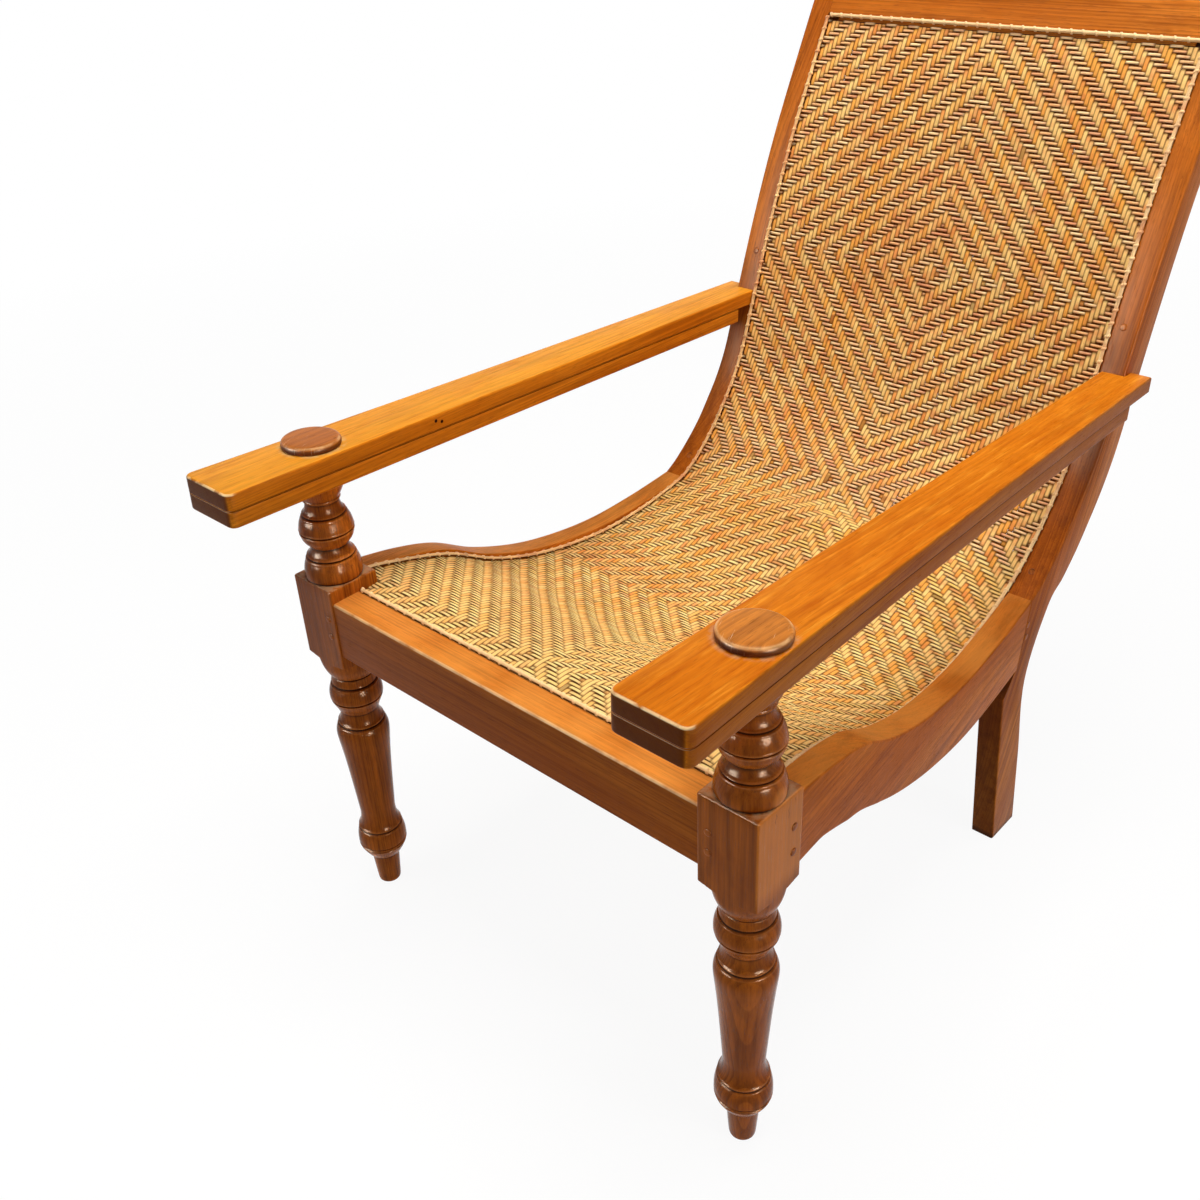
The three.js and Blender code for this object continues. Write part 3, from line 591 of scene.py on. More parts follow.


# %% [markdown]
# ### Marks of use, and painted light and shade
# Each mark is a small function. It takes the base colour and the roughness and gives them back with the
# mark added. Where it lies comes from the place in space and from the way the surface faces, so no
# picture is needed. Polish has dried round the caps and on the blocks, the cuts of the turning are
# dark, and the front edges of the arms are pale. The other marks are painted light and shade: painted
# sheen on top faces, painted shade on fronts, on the sides of the caps and in the joint under each
# arm, a painted shadow of the arm on each rear post, painted highlights on the beads, on the cap rims,
# which are also rubbed pale, and along the front rail's edge, and the left arm's top painted lighter
# than the right arm's.

# %% Marks on the arms
def worn_arm_ends(s, where, normal, base, rough):
    x, y, z = s.split(where)
    up = s.split(normal)[2]
    # A pale line along the rounded top front edge of each arm.
    edge = s.times(s.band(up, (0.1, 0.45), (0.99, 0.9)), s.range(y, axis_y - 0.116, axis_y - 0.124),
                   s.range(z, 0.607, 0.611), s.range(s.noise(where, 70.0, 3.0), 0.3, 0.5))
    base = s.lay(base, colour(255, 220, 160), edge, 0.85)
    reach = s.length(s.merge(s.calc("SUBTRACT", s.calc("ABSOLUTE", x), post_x / 1000),
                             s.calc("SUBTRACT", y, axis_y)))
    dried = s.times(s.range(reach, 0.0385, 0.0325), s.range(up, 0.8, 0.95),
                    s.range(s.noise(where, 160.0, 3.0), 0.35, 0.6))
    base = s.lay(base, colour(176, 158, 132), dried, 0.5)
    return base, s.calc("ADD", rough, s.times(dried, 0.2))


def darker_outer_side(s, where, normal, base, rough):
    outward = s.times(s.split(normal)[0], s.calc("SIGN", s.split(where)[0]))
    return s.lay(base, colour(112, 46, 8), s.range(outward, 0.4, 0.85), 0.55), rough


def faded_and_streaked_top(s, where, normal, base, rough):
    x, y, z = s.split(where)
    top = s.range(s.split(normal)[2], 0.75, 0.95)
    # Painted light and shade: the left arm's top is painted lighter and the right arm's darker, as more
    # light falls on the left.
    base = s.lay(base, colour(255, 200, 70), s.range(x, 0.05, -0.05), top, 0.24)
    base = s.lay(base, colour(178, 82, 2), s.range(x, -0.05, 0.05), top, 0.38)
    streak = s.noise(s.merge(s.times(x, 40.0), s.times(y, 2.2), s.times(z, 40.0)), 6.0, 4.0, 0.6)
    base = s.lay(base, colour(160, 66, 4), s.range(streak, 0.5, 0.7), top, 0.35)
    return s.lay(base, colour(250, 178, 60), s.range(streak, 0.47, 0.25), top, 0.3), rough


def nail_holes(s, where, normal, base, rough):
    """Two old holes in the inner side of the left arm."""
    for hole in ((-0.247, -0.2647, 0.6029), (-0.247, -0.2565, 0.5995)):
        reach = s.length(s.vector("SUBTRACT", where, hole))
        base = s.mix(s.range(reach, 0.0026, 0.0014), base, colour(24, 8, 2))
    return base, rough


def dirt_between_boards(s, where, normal, base, rough):
    """The joint of arm and leg rest: painted shade of the gap along the sides, with dry polish at the
    front.
    """
    _, y, z = s.split(where)
    to_side, to_front, _ = s.split(normal)
    joint = (bell_top + board_thick + 1.5 * running_gap) / 1000
    off = s.calc("SUBTRACT", s.calc("MULTIPLY_ADD", y, arm_slope, z), joint + arm_slope * axis_y)
    line = s.range(s.calc("ABSOLUTE", off), 0.0014, 0.0005)
    # Painted shade: the gap between the boards is painted dark on the sides.
    base = s.lay(base, colour(48, 18, 6), line, s.range(s.calc("ABSOLUTE", to_side), 0.3, 0.7), 0.85)
    return s.lay(base, colour(206, 170, 132), line, s.range(to_front, -0.5, -0.8), 0.6), rough


# %% Marks on the frame
def darker_feet(s, where, normal, base, rough):
    z = s.split(where)[2]
    front = s.range(s.split(normal)[1], -0.5, -0.9)
    more_in_front = s.calc("MULTIPLY_ADD", front, 0.45, 0.25)
    # Darker towards the bottom; the front faces get more of it, as painted shade.
    base = s.lay(base, colour(44, 14, 2), s.range(z, 0.37, 0.3), more_in_front)
    base = s.lay(base, colour(26, 10, 4), s.range(z, 0.012, 0.002), 0.6)
    # Painted shadow of the arm on the front face of the rear post.
    return s.lay(base, colour(70, 34, 10), s.band(z, (0.42, 0.56), (0.66, 0.6)), front, 0.45), rough


def worn_front_rail(s, where, normal, base, rough):
    _, forward, up = s.split(normal)
    low = s.range(s.split(where)[2], 0.5, 0.47)
    # Painted shade on the front faces of the low rails.
    base = s.lay(base, colour(90, 38, 8), s.range(forward, -0.5, -0.9), low, 0.35)
    # Painted highlight along the rounded top front edge.
    edge = s.times(s.band(up, (0.2, 0.5), (0.985, 0.88)), s.range(s.noise(where, 40.0, 3.0), 0.2, 0.6))
    return s.lay(base, colour(255, 214, 150), edge, low, 0.6), rough


def rubbed_top(s, where, normal, base, rough):
    # Painted sheen: top faces lighter in patches, as where light glances off the polish.
    top = s.range(s.split(normal)[2], 0.6, 0.95)
    return s.lay(base, colour(255, 176, 84), top, s.range(s.noise(where, 14.0), 0.1, 0.7), 0.35), rough


# %% Marks on the turned posts and the caps
def dark_cuts(s, where, normal, base, rough):
    deep = s.range(s.attribute("hollow"), 0.0, 1.0)
    proud = s.range(s.attribute("hollow"), -0.1, -1.0)
    # The cuts are dark with old polish; the proud rings are rubbed lighter and also carry a painted
    # highlight.
    base = s.lay(s.lay(base, colour(226, 140, 70), proud, 0.25), colour(30, 12, 4), deep, 0.85)
    return base, s.calc("ADD", rough, s.times(deep, 0.15))


def block_marks(s, where, normal, base, rough):
    """Dried polish on the block's top, a warmer outer side, and short cracks in it."""
    x, y, z = s.split(where)
    top = s.times(s.band(z, (0.4575, 0.459), (0.4615, 0.4605)), s.range(s.split(normal)[2], 0.5, 0.9),
                  s.range(s.noise(where, 120.0, 3.0), 0.3, 0.6))
    base = s.lay(base, colour(190, 160, 124), top, 0.5)
    outer = s.range(s.calc("ABSOLUTE", x), 0.3155, 0.3175)
    base = s.lay(base, colour(240, 146, 60), outer, s.range(z, 0.35, 0.38), 0.4)
    cracks = 0.0
    for place, low, high in ((0.011, 0.437, 0.452), (-0.008, 0.444, 0.4565), (0.019, 0.449, 0.457)):
        line = s.calc("MULTIPLY_ADD", s.noise(z, 160.0, kind="1D"), 0.004, axis_y + place - 0.002)
        line = s.range(s.calc("ABSOLUTE", s.calc("SUBTRACT", y, line)), 0.00045, 0.0001)
        line = s.times(line, s.band(z, (low, low + 0.004), (high, high - 0.003)))
        cracks = s.calc("MAXIMUM", cracks, line)
    return s.lay(base, colour(30, 14, 8), cracks, s.range(x, 0.31, 0.317), 0.85), rough


def rubbed_rim(s, where, normal, base, rough):
    x, y, _ = s.split(where)
    up = s.split(normal)[2]
    rim = s.times(s.band(up, (0.3, 0.7), (0.985, 0.88)), s.range(s.noise(where, 55.0, 3.0), 0.25, 0.7))
    # The rounded rim is rubbed pale and also carries a painted highlight.
    base = s.lay(base, colour(246, 200, 140), rim, 0.5)
    # Painted shade on the sides of the cap.
    base = s.lay(base, colour(72, 32, 8), s.range(up, 0.45, 0.1), 0.7)
    scratch = s.noise(s.merge(s.calc("MULTIPLY_ADD", y, 0.4, x), s.times(y, 0.03)), 900.0)
    scratch = s.times(s.range(scratch, 0.66, 0.72), s.range(s.noise(where, 60.0), 0.4, 0.6))
    return s.lay(base, colour(250, 222, 180), scratch, 0.5), rough


# %% The finishes of the wooden pieces
along_x, along_y, along_z = (0, -math.pi / 2, 0), (math.pi / 2, 0, 0), (0, 0, 0)
along_back = (math.radians(21), 0, 0)
honey = colour(238, 152, 40), colour(204, 112, 14), colour(130, 58, 6)
brown = colour(220, 128, 42), colour(184, 94, 22), colour(104, 44, 8)
deep = colour(204, 112, 32), colour(148, 72, 16), colour(60, 22, 2)
amber = colour(204, 126, 46), colour(168, 92, 26), colour(98, 46, 10)
arm_finish = wood("arm_wood_polished", along_y, (0.05, 0.16), *honey, bend=0.012, gloss=0.03,
                  wear_and_painted_light=[worn_arm_ends, darker_outer_side, faded_and_streaked_top, nail_holes,
                        dirt_between_boards])
rail_finish = wood("rail_wood_polished", along_y, (0.02, 0.13), *brown, gloss=0.02, wear_and_painted_light=[rubbed_top])
cross_finish = wood("cross_wood_polished", along_x, (0.03, 0.11), *brown, bend=0.015, gloss=0.03,
                    wear_and_painted_light=[rubbed_top, worn_front_rail])
rake_finish = wood("post_wood_polished", along_back, (0.12, 0.05), *brown, gloss=0.03,
                   wear_and_painted_light=[darker_feet])
turned_finish = wood("turned_wood_polished", along_z, (0.018, 0.075), *deep, bend=0.02, gloss=0.06,
                     turned=True, wear_and_painted_light=[dark_cuts, block_marks])
cap_finish = wood("cap_wood_polished", along_y, (0.03, 0.09), *amber, gloss=0.1, wear_and_painted_light=[rubbed_rim])
peg_finish = wood("peg_wood_polished", along_z, (0.01, 0.02), *deep)
print("finishes:", len(bpy.data.materials))

# %% [markdown]
# ## The front posts
# Each is one length of wood: a turned leg, a square block that takes the rails, a turned baluster, and
# a plain spindle that the leg rest turns on. On the lathe the turner cuts beads, coves and fillets,
# and where the cut meets the square it leaves a rounded cup. So the mesh is a grid around the axis
# whose radius is the smaller of two forms, the turning and the square, with a soft blend between.

# %% The turner's profile
leg_strokes = [
    [(0, 0.4), (0.005, 0.445), (0.05, 0.485), (0.138, 0.55)],
    [(0.138, 0.55), (0.141, 0.62)],
    [(0.141, 0.62), (0.147, 0.68), (0.158, 0.745)],
    [(0.158, 0.745), (0.17, 0.82), (0.183, 0.88), (0.193, 0.91)],
    [(0.197, 0.915), (0.204, 0.93)],
    [(0.208, 0.935), (0.222, 0.952), (0.238, 0.945), (0.255, 0.918), (0.271, 0.875)],
    [(0.271, 0.875), (0.28, 0.83), (0.289, 0.84)],
    [(0.289, 0.84), (0.298, 0.785), (0.312, 0.735), (0.332, 0.7), (0.355, 0.69)],
    [(0.355, 0.69), (0.5, 0.79), (0.6, 0.87), (0.67, 0.94), (0.705, 0.98), (0.733, 1), (0.752, 0.978),
     (0.768, 0.918)],
    [(0.768, 0.918), (0.777, 0.85), (0.786, 0.858)],
    [(0.786, 0.858), (0.793, 0.805), (0.804, 0.76), (0.818, 0.725), (0.834, 0.71)],
    [(0.834, 0.71), (0.838, 0.76), (0.845, 0.795), (0.852, 0.815)],
    [(0.852, 0.815), (0.862, 0.872), (0.874, 0.925), (0.884, 0.955)],
    [(0.884, 0.955), (0.888, 0.925), (0.892, 0.975)],
    [(0.892, 0.975), (0.903, 0.995), (0.915, 0.988), (0.928, 0.96), (0.939, 0.918), (0.947, 0.875)],
    [(0.947, 0.875), (0.953, 0.825), (0.961, 0.835)],
    [(0.961, 0.84), (0.97, 0.83), (0.98, 0.805), (0.991, 0.775)],
]
baluster_strokes = [
    [(0, 0.985), (0.02, 1.008), (0.05, 1.02), (0.09, 1.012), (0.13, 0.982), (0.17, 0.935),
     (0.208, 0.875)],
    [(0.208, 0.875), (0.219, 0.825), (0.232, 0.84)],
    [(0.232, 0.84), (0.246, 0.785), (0.268, 0.72), (0.298, 0.665), (0.333, 0.635)],
    [(0.333, 0.635), (0.339, 0.69), (0.348, 0.735), (0.358, 0.755)],
    [(0.358, 0.755), (0.385, 0.845), (0.42, 0.91), (0.455, 0.94), (0.476, 0.95)],
    [(0.476, 0.95), (0.484, 0.915), (0.492, 0.955)],
    [(0.492, 0.955), (0.53, 0.945), (0.575, 0.905), (0.61, 0.855), (0.641, 0.79)],
    [(0.641, 0.79), (0.653, 0.745), (0.666, 0.755)],
    [(0.666, 0.755), (0.68, 0.7), (0.708, 0.645), (0.745, 0.608), (0.785, 0.595)],
    [(0.785, 0.595), (0.792, 0.64), (0.804, 0.665), (0.817, 0.65)],
    [(0.817, 0.65), (0.85, 0.71), (0.89, 0.785), (0.94, 0.85), (1, 0.89)],
]


def profile(strokes, foot, height, steps):
    """Heights and radii of a turned profile, smooth within each stroke of the gouge."""
    points = []
    for stroke in strokes:
        points.extend(smooth(stroke, steps).tolist())
    points = np.array(points)
    return np.column_stack([foot + points[:, 0].clip(0) * height, points[:, 1] * turning_radius])


# %% The square, seen from the axis
def square_reach(angles, half_x, half_y, corner):
    """Distance from the axis to a square with rounded corners, in each direction."""
    c, s = np.abs(np.cos(angles)), np.abs(np.sin(angles))
    reach = np.minimum(half_x / np.maximum(c, 1e-9), half_y / np.maximum(s, 1e-9))
    middle = c * (half_x - corner) + s * (half_y - corner)
    far = (half_x - corner) ** 2 + (half_y - corner) ** 2 - corner ** 2
    root = middle ** 2 - far
    round_reach = middle + np.sqrt(np.maximum(root, 0))
    in_corner = (round_reach * c > half_x - corner) & (round_reach * s > half_y - corner) & (root >= 0)
    return np.where(in_corner, round_reach, reach)


def post_angles():
    """Directions around the axis: even ones, and more near the four corners of the square."""
    corner = math.atan2(block_deep, block_wide)
    near = np.radians([-4, -2.4, -1.2, 0, 1.2, 2.4, 4])
    corners = [corner, math.pi - corner, math.pi + corner, 2 * math.pi - corner]
    angles = np.concatenate([np.arange(0, 72) * math.tau / 72] + [near + c for c in corners])
    angles = np.unique(np.round(angles, 5))
    keep = np.concatenate([[True], np.diff(angles) > 0.008])
    return angles[keep]


# %% The post's rows
# Every turning is slimmer than this limit, and the square is well inside the radius beyond it
turning_limit, beyond_square = 33.5, 60.0
block_edge, block_corner = 2.0, 1.6


def post_rows():
    """Rows of (height, turning radius, inset of the square), from the floor to the bell's top."""
    leg = [(z, r, 0.0) for z, r in profile(leg_strokes, 0, leg_height, 5)]
    cup = smooth([(-0.1, 0.79), (0.05, 0.89), (0.2, 0.955), (0.4, 1.02), (0.6, 1.065), (0.75, 1.09),
                  (0.87, 1.105)], 5)
    leg += [(leg_height + z * tongue_height, r * turning_radius, 0.0) for z, r in cup]
    start_z, start_r = leg[-1][:2]
    up, out = block_bottom - start_z, math.hypot(block_wide, block_deep) / 2 + 1.5 - start_r
    leg += [(start_z + t * up, start_r + t ** 0.9 * out, 0.0) for t in np.linspace(0, 1, 26)[1:]]
    block = [(z, beyond_square, 0.0) for z in np.linspace(block_bottom + 6, block_top - block_edge, 10)]
    block += [(block_top - block_edge * (1 - math.sin(a)), beyond_square,
               block_edge * (1 - math.cos(a))) for a in np.linspace(0, math.pi / 2, 5)[1:]]
    block += [(block_top, 33.6, block_edge), (block_top - 0.3, 32.6, block_edge)]
    bell = [(z, r, 0.0) for z, r in profile(baluster_strokes, block_top, baluster_height, 5)]
    return np.array(leg + block + bell)


def with_fine_cuts(rows):
    """Rows set closer together, with a crisp cut and a narrow raised ring at some joints."""
    cuts = [height * leg_height for height in (0.195, 0.206, 0.28, 0.777, 0.888, 0.953, 0.991)]
    cuts += [block_top + height * baluster_height for height in (0.219, 0.484, 0.653)]
    row_step, cut_deep, cut_wide, bead_high, bead_off, bead_wide = 0.7, 1.4, 0.75, 0.45, 2.0, 1.0
    close = [rows[0]]
    for before, after in zip(rows, rows[1:]):
        turned = max(before[1], after[1]) < turning_limit and before[2] == after[2] == 0
        pieces = max(1, math.ceil((after[0] - before[0]) / row_step)) if turned else 1
        close += [before + (after - before) * k / pieces for k in range(1, pieces + 1)]
    close = np.array(close)
    for cut in cuts:
        off = close[:, 0] - cut
        bead = bead_high * np.exp(-((np.abs(off) - bead_off) / bead_wide) ** 2)
        change = bead - cut_deep * np.exp(-(off / cut_wide) ** 2)
        close[:, 1] += np.where(close[:, 1] < turning_limit, change, 0)
    return close


rows = with_fine_cuts(post_rows())
angles = post_angles()
print("front post:", len(rows), "rows of", len(angles))

# %% How deep each row lies
def hollows(rows):
    """From -1 on a proud ring to 1 in a deep cut, beside the profile's own slow run."""
    heights = np.arange(0, 600, 1.0)
    slow = np.minimum(np.interp(heights, rows[:, 0], rows[:, 1]), turning_limit + 0.5)
    blur = np.exp(-np.linspace(-2, 2, 15) ** 2)
    slow = np.convolve(np.pad(slow, 7, mode="edge"), blur / blur.sum(), mode="valid")
    deep = np.clip((np.interp(rows[:, 0], heights, slow) - rows[:, 1]) / 0.9, -1, 1)
    return np.where(rows[:, 1] < turning_limit + 0.5, deep, 0.0)


# %% The front posts
spindle_radius, spindle_short, blend, lean_from = 14.0, 0.2, 0.35, 560.0
square = square_reach(angles, block_wide / 2, block_deep / 2, block_corner)
cloud = []
for height, radius, less in rows:
    reach = -blend * np.logaddexp(-radius / blend, (less - square) / blend)
    lean = np.clip((height - lean_from) / (bell_top - lean_from), 0, 1) * arm_slope
    x, y = reach * np.cos(angles), reach * np.sin(angles)
    cloud.append(np.column_stack([x + post_x, y, height - lean * y - gap * (lean > 0.03)]))
# The spindle stands square to the arm, which falls to the rear
x, y = spindle_radius * np.cos(angles), spindle_radius * np.sin(angles)
cloud += [on_arm(np.column_stack([x, y, np.full(len(angles), -drop)]))
          for drop in (2 * (board_thick + running_gap) + 0.5, 1.5, spindle_short)]
marks = np.concatenate([np.repeat(hollows(rows), len(angles)), np.zeros(3 * len(angles) + 2)])
faces = turned_faces(len(cloud), len(angles))
cloud = np.vstack(cloud + [(post_x, 0, 0), (post_x, 0, arm_top - spindle_short)])
pair("turned_post", cloud, faces, turned_finish, "front_post", attributes={"hollow": marks}, crease=32)

# %% [markdown]
# ## The front rail
# A straight rail with a flat top in front of the cane and a step behind it for the cane's edge. Its
# top front edge is well rounded, because the backs of the sitter's knees rest on it.

# %% Front rail
rail_back = rail_front + rail_land
rail_low, step_back, step_top = front_rail_top - 69.5, rail_back + ledge_wide, front_rail_top - rebate
rail_section = softened(
    [(rail_front, rail_low), (step_back, rail_low), (step_back, step_top), (rail_back, step_top),
     (rail_back, front_rail_top), (rail_front, front_rail_top)], [2, 2, 1, 0, 1.2, 4.5])


def cross_rail(name, section, half_long):
    """A rail of one section from side to side, its sharp end edges just broken."""
    points, faces = board(lambda level: section, -half_long, half_long, 0.2, 0.2)
    piece(f"{name}_board", across(points), faces, cross_finish, [name])


cross_rail("front_rail", rail_section, block_inner - shoulder_gap)

# %% [markdown]
# ## The side rails
# Each is sawn to a long double curve from a thick plank, so its top shows the rings as arcs. A ledge
# runs along its inner face, a little below the top, and carries the edge of the cane.

# %% Outline and ledge of a side rail
into_block, most_extra_drop, unrounded = 4, 9, 0.12


def cane_drop(y):
    """How far the cane lies below the rail's top: most in the middle of the seat."""
    share = (np.asarray(y) - block_back) / rail_run
    return rebate + most_extra_drop * (1 - (2 * share - 1) ** 4)


top_line = rail_line.copy()
top_line[0] = (block_back - into_block, seat_front)
under_y = block_back + (rail_line[:, 0] - block_back) * (rail_run - joint_lean) / rail_run
under = np.column_stack([under_y, rail_line[:, 1] - rail_deep(rail_line[:, 0])])
under[0, 0] = block_back - into_block
side_outline = np.vstack([under, top_line[::-1]])
side_shares = np.ones(len(side_outline))
side_shares[len(under) - 1] = side_shares[-1] = unrounded
seat_edge = rail_line[2:-1].copy()
seat_edge[:, 1] -= cane_drop(seat_edge[:, 0])
seat_ledge = np.vstack([seat_edge - (0, ledge_deep), seat_edge[::-1]])


def with_ledge(outline, inner, outer, rounding, shares, ledge):
    """A board and the ledge that carries the cane, as one piece of wood."""
    points, faces = joined(board(lambda level: outline, inner, outer, *rounding, shares),
                           board(lambda level: ledge, inner - ledge_wide, inner + ledge_hold, 1.0, 0.5))
    return across(points), faces


points, faces = with_ledge(side_outline, -timber, 0, (1.6, 3.0), side_shares, seat_ledge)
points[:, 0] += rail_lean(points[:, 1])
pair("side_rail_board", points, faces, rail_finish, "side_rail")

# %% [markdown]
# ## The rear posts
# Rear leg and back post are one sawn piece. The front line is the line of the back, and below the
# seat the leg bends forward at the knee and back again to the foot.

# %% Outline and ledge of a rear post
foot_y, knee_z, leg_deep, top_deep = joint_y - 2, 245, 56, 36
knee_y = foot_y - 35
leg_front = [(foot_y, 0), (knee_y, knee_z), (joint_y - joint_lean, joint_z - rail_deep(joint_y)),
             (joint_y, joint_z)]
post_front = np.vstack([leg_front, back_line[1:]])
post_deep = leg_deep + (top_deep - leg_deep) * (back_line[:, 1] - joint_z) / back_rise
rear_points = [(foot_y + leg_deep, 0), ((foot_y + knee_y) / 2 + leg_deep, knee_z / 2),
               (knee_y + leg_deep, knee_z)]
post_rear = smooth(rear_points + beside(back_line, -post_deep)[8::8].tolist(), 8)
post_outline = np.vstack([post_rear, post_front[::-1]])
post_shares = np.ones(len(post_outline))
post_shares[len(post_outline) - 3] = unrounded
cane_edge = beside(back_line, -rebate)
cane_edge = cane_edge[cane_edge[:, 1] < cane_top]
back_ledge = np.vstack([beside(cane_edge, -ledge_deep), cane_edge[::-1]])
points, faces = with_ledge(post_outline, post_inner, post_outer, (1.4, 3.0), post_shares, back_ledge)
points[:, 2] = np.maximum(points[:, 2], 0)
pair("rear_post_board", points, faces, rake_finish, "rear_post")

# %% [markdown]
# ## The cross rails of the back
# The crest rail joins the tops of the posts, flush with their fronts. Two plain rails lie behind the
# cane, at the height of the pegs in the posts.

# %% Crest rail
def at_height(height, values=back_line):
    """A point, or another pair of values, of the back's front line at a height."""
    return np.array([np.interp(height, back_line[:, 1], values[:, k]) for k in (0, 1)])


def on_back(height):
    """Point of the back's front line at a height, and its direction."""
    along = at_height(height, directions(back_line))
    return at_height(height), along / np.linalg.norm(along)


crest_front = np.vstack([on_back(cane_top + gap)[0], back_line[back_line[:, 1] > cane_top + 4]])
crest_thick, between = 28, [0] * (len(crest_front) - 2)
crest_outline = softened(np.vstack([beside(crest_front, -crest_thick), crest_front[::-1]]),
                         [2] + between + [5, 5] + between + [1])
lip_front = beside(np.array([on_back(cane_top - ledge_wide)[0], on_back(cane_top + ledge_wide)[0]]),
                   -rebate - 2 * gap)
lip_outline = np.vstack([beside(lip_front, 3 * gap - ledge_deep), lip_front[::-1]])
crest_end = post_inner - shoulder_gap
lip_end = crest_end - ledge_wide - gap
crest = board(lambda level: crest_outline, -crest_end, crest_end, 0.2, 0.2)
lip = board(lambda level: lip_outline, -lip_end, lip_end, 0.5, 0.5)
points, faces = joined(crest, lip)
piece("crest_rail_board", across(points), faces, cross_finish, ["crest_rail"])

# %% Middle and rear rail
rear_rail_height, middle_rail_height = joint_z + 18.5, joint_z + 271.5
for name, height in (("middle_rail", middle_rail_height), ("rear_rail", rear_rail_height)):
    middle, along = on_back(height)
    off = np.array([-along[1], along[0]])
    corners = [middle + u * along - v * off for u, v in ((-25, 47), (25, 47), (25, 27), (-25, 27))]
    cross_rail(name, softened(corners, [3, 3, 2, 2]), crest_end)

# %% [markdown]
# ## Arms and leg rests
# Both are flat boards of one width, stacked so closely that only a dark line parts them. The outer
# edge curves in towards the rear. The arm ends in a notch round the rear post; the leg rest stops
# short of it, because it has to swing out.

# %% Outline of a board of the arm
arm_inner, arm_wide, arm_narrow, arm_reach, arm_ear = 39.0, 78.5, 52.0, 128.4, 18.0
corner_radius, rest_shorter = 10, 20


def back_in_arm(level):
    """How far back the front of the rear post lies, at a level of the arm."""
    y, z = back_line[:, 0] - gap, back_line[:, 1] - arm_top
    return np.interp(level, y * tilt_sin + z * tilt_cos, y * tilt_cos - z * tilt_sin)


def arm_curve(rear, steps=36):
    """The outer edge, from the front corner to the rear."""
    front_x, rear_x = arm_wide - arm_inner, arm_narrow - arm_inner
    start, end = np.array([front_x, corner_radius - arm_reach]), np.array([rear_x, rear])
    bend_in, bend_on = 0.374, 0.41
    bend = np.array([rear_x + (front_x - rear_x) * bend_in, -arm_reach + (rear + arm_reach) * bend_on])
    return bent(start, bend, end, steps)


def front_edge():
    """The rounded front corners and the edge between them."""
    right = arm_wide - arm_inner
    corners = softened([(-arm_inner, 0), (-arm_inner, -arm_reach), (right, -arm_reach), (right, 0)],
                       [0, corner_radius, corner_radius, 0], 7)
    return corners[1:-1]


def back_line_at(drop):
    """How far back the rear post's front line lies at a drop below the arm's top."""
    return at_height(arm_top - drop - arm_slope * at_height(arm_top)[0])[0]


arm_rear = back_line_at(0) + arm_ear
rest_rear = back_line_at(2 * board_thick) - rest_shorter
notch_x = post_outer + gap - post_x


def arm_outline(level):
    rear = back_in_arm(level)
    tail = [(notch_x, arm_rear), (notch_x, rear), (-arm_inner, rear)]
    return np.vstack([front_edge(), arm_curve(arm_rear)[1:], tail])


def rest_outline(level):
    return np.vstack([front_edge(), arm_curve(rest_rear)[1:], [(-arm_inner, rest_rear)]])


arm_shares = np.ones(len(arm_outline(0)))
arm_shares[-3:-1] = 0.15  # The sides of the notch are hardly rounded
print("arm:", round(arm_rear + arm_reach), "mm long, leg rest:", round(rest_rear + arm_reach), "mm")

# %% The hole for the spindle
def kept_mesh(thing):
    """What an object's modifiers make of its mesh, as a plain mesh."""
    return bpy.data.meshes.new_from_object(thing.evaluated_get(bpy.context.evaluated_depsgraph_get()))


def drilled(thing, centre, axis, radius, length, sides=40):
    """A round hole through a piece, cut with a drill of many sides."""
    side = Vector(axis).orthogonal().normalized()
    other = Vector(axis).normalized().cross(side)
    ring = [Vector(centre) + radius * (math.cos(a) * side + math.sin(a) * other)
            for a in np.arange(sides) * math.tau / sides]
    half = Vector(axis).normalized() * length
    mesh = bpy.data.meshes.new("drill")
    mesh.from_pydata([tuple(p + way * half) for way in (-1, 1) for p in ring], [], plugged(2, sides))
    drill = placed("drill", mesh)
    cut = thing.modifiers.new("hole", "BOOLEAN")
    cut.operation, cut.solver, cut.object = "DIFFERENCE", "EXACT", drill
    result = kept_mesh(thing)
    thing.modifiers.remove(cut)
    bpy.data.objects.remove(drill)
    thing.data = result
    result.shade_smooth()
    result.set_sharp_from_angle(angle=math.radians(40))


# %% Arms and leg rests
hole_radius, hole_half, hole_drop = 0.0148, 0.04, 20
for kind, outline, shares, top, rounding, body in (
        ("arm", arm_outline, arm_shares, 0.0, (2.6, 0.9), "frame"),
        ("leg_rest", rest_outline, None, -board_thick - running_gap, (0.9, 2.8), "leg_rest_{}")):
    points, faces = board(outline, top, top - board_thick, *rounding, shares)
    twins = pair(f"{kind}_board", on_arm(points), faces, arm_finish, kind, body)
    for thing, sign in zip(twins, (1, -1)):
        drilled(thing, in_place([(sign * post_x, 0, arm_top - hole_drop)])[0],
                (0, tilt_sin, tilt_cos), hole_radius, hole_half)

# %% [markdown]
# ## Caps and pegs
# A turned cap covers the end of each spindle. Wooden pegs lock the joints: they were hammered in and
# cut off, so each stands a hair proud, with a slightly domed head. Eighteen equal pegs are a task for
# Geometry Nodes: one peg is made, and the tree sets a copy on each point, turned to its direction.

# %% Caps
def lathe(points, sides):
    """A closed turned form about Z from (radius, height) points that start and end on the axis."""
    turn = np.arange(sides) * math.tau / sides
    cloud = [(r * math.cos(a), r * math.sin(a), z) for r, z in points[1:-1] for a in turn]
    cloud += [(0, 0, points[0][1]), (0, 0, points[-1][1])]
    return np.array(cloud), turned_faces(len(points) - 2, sides)


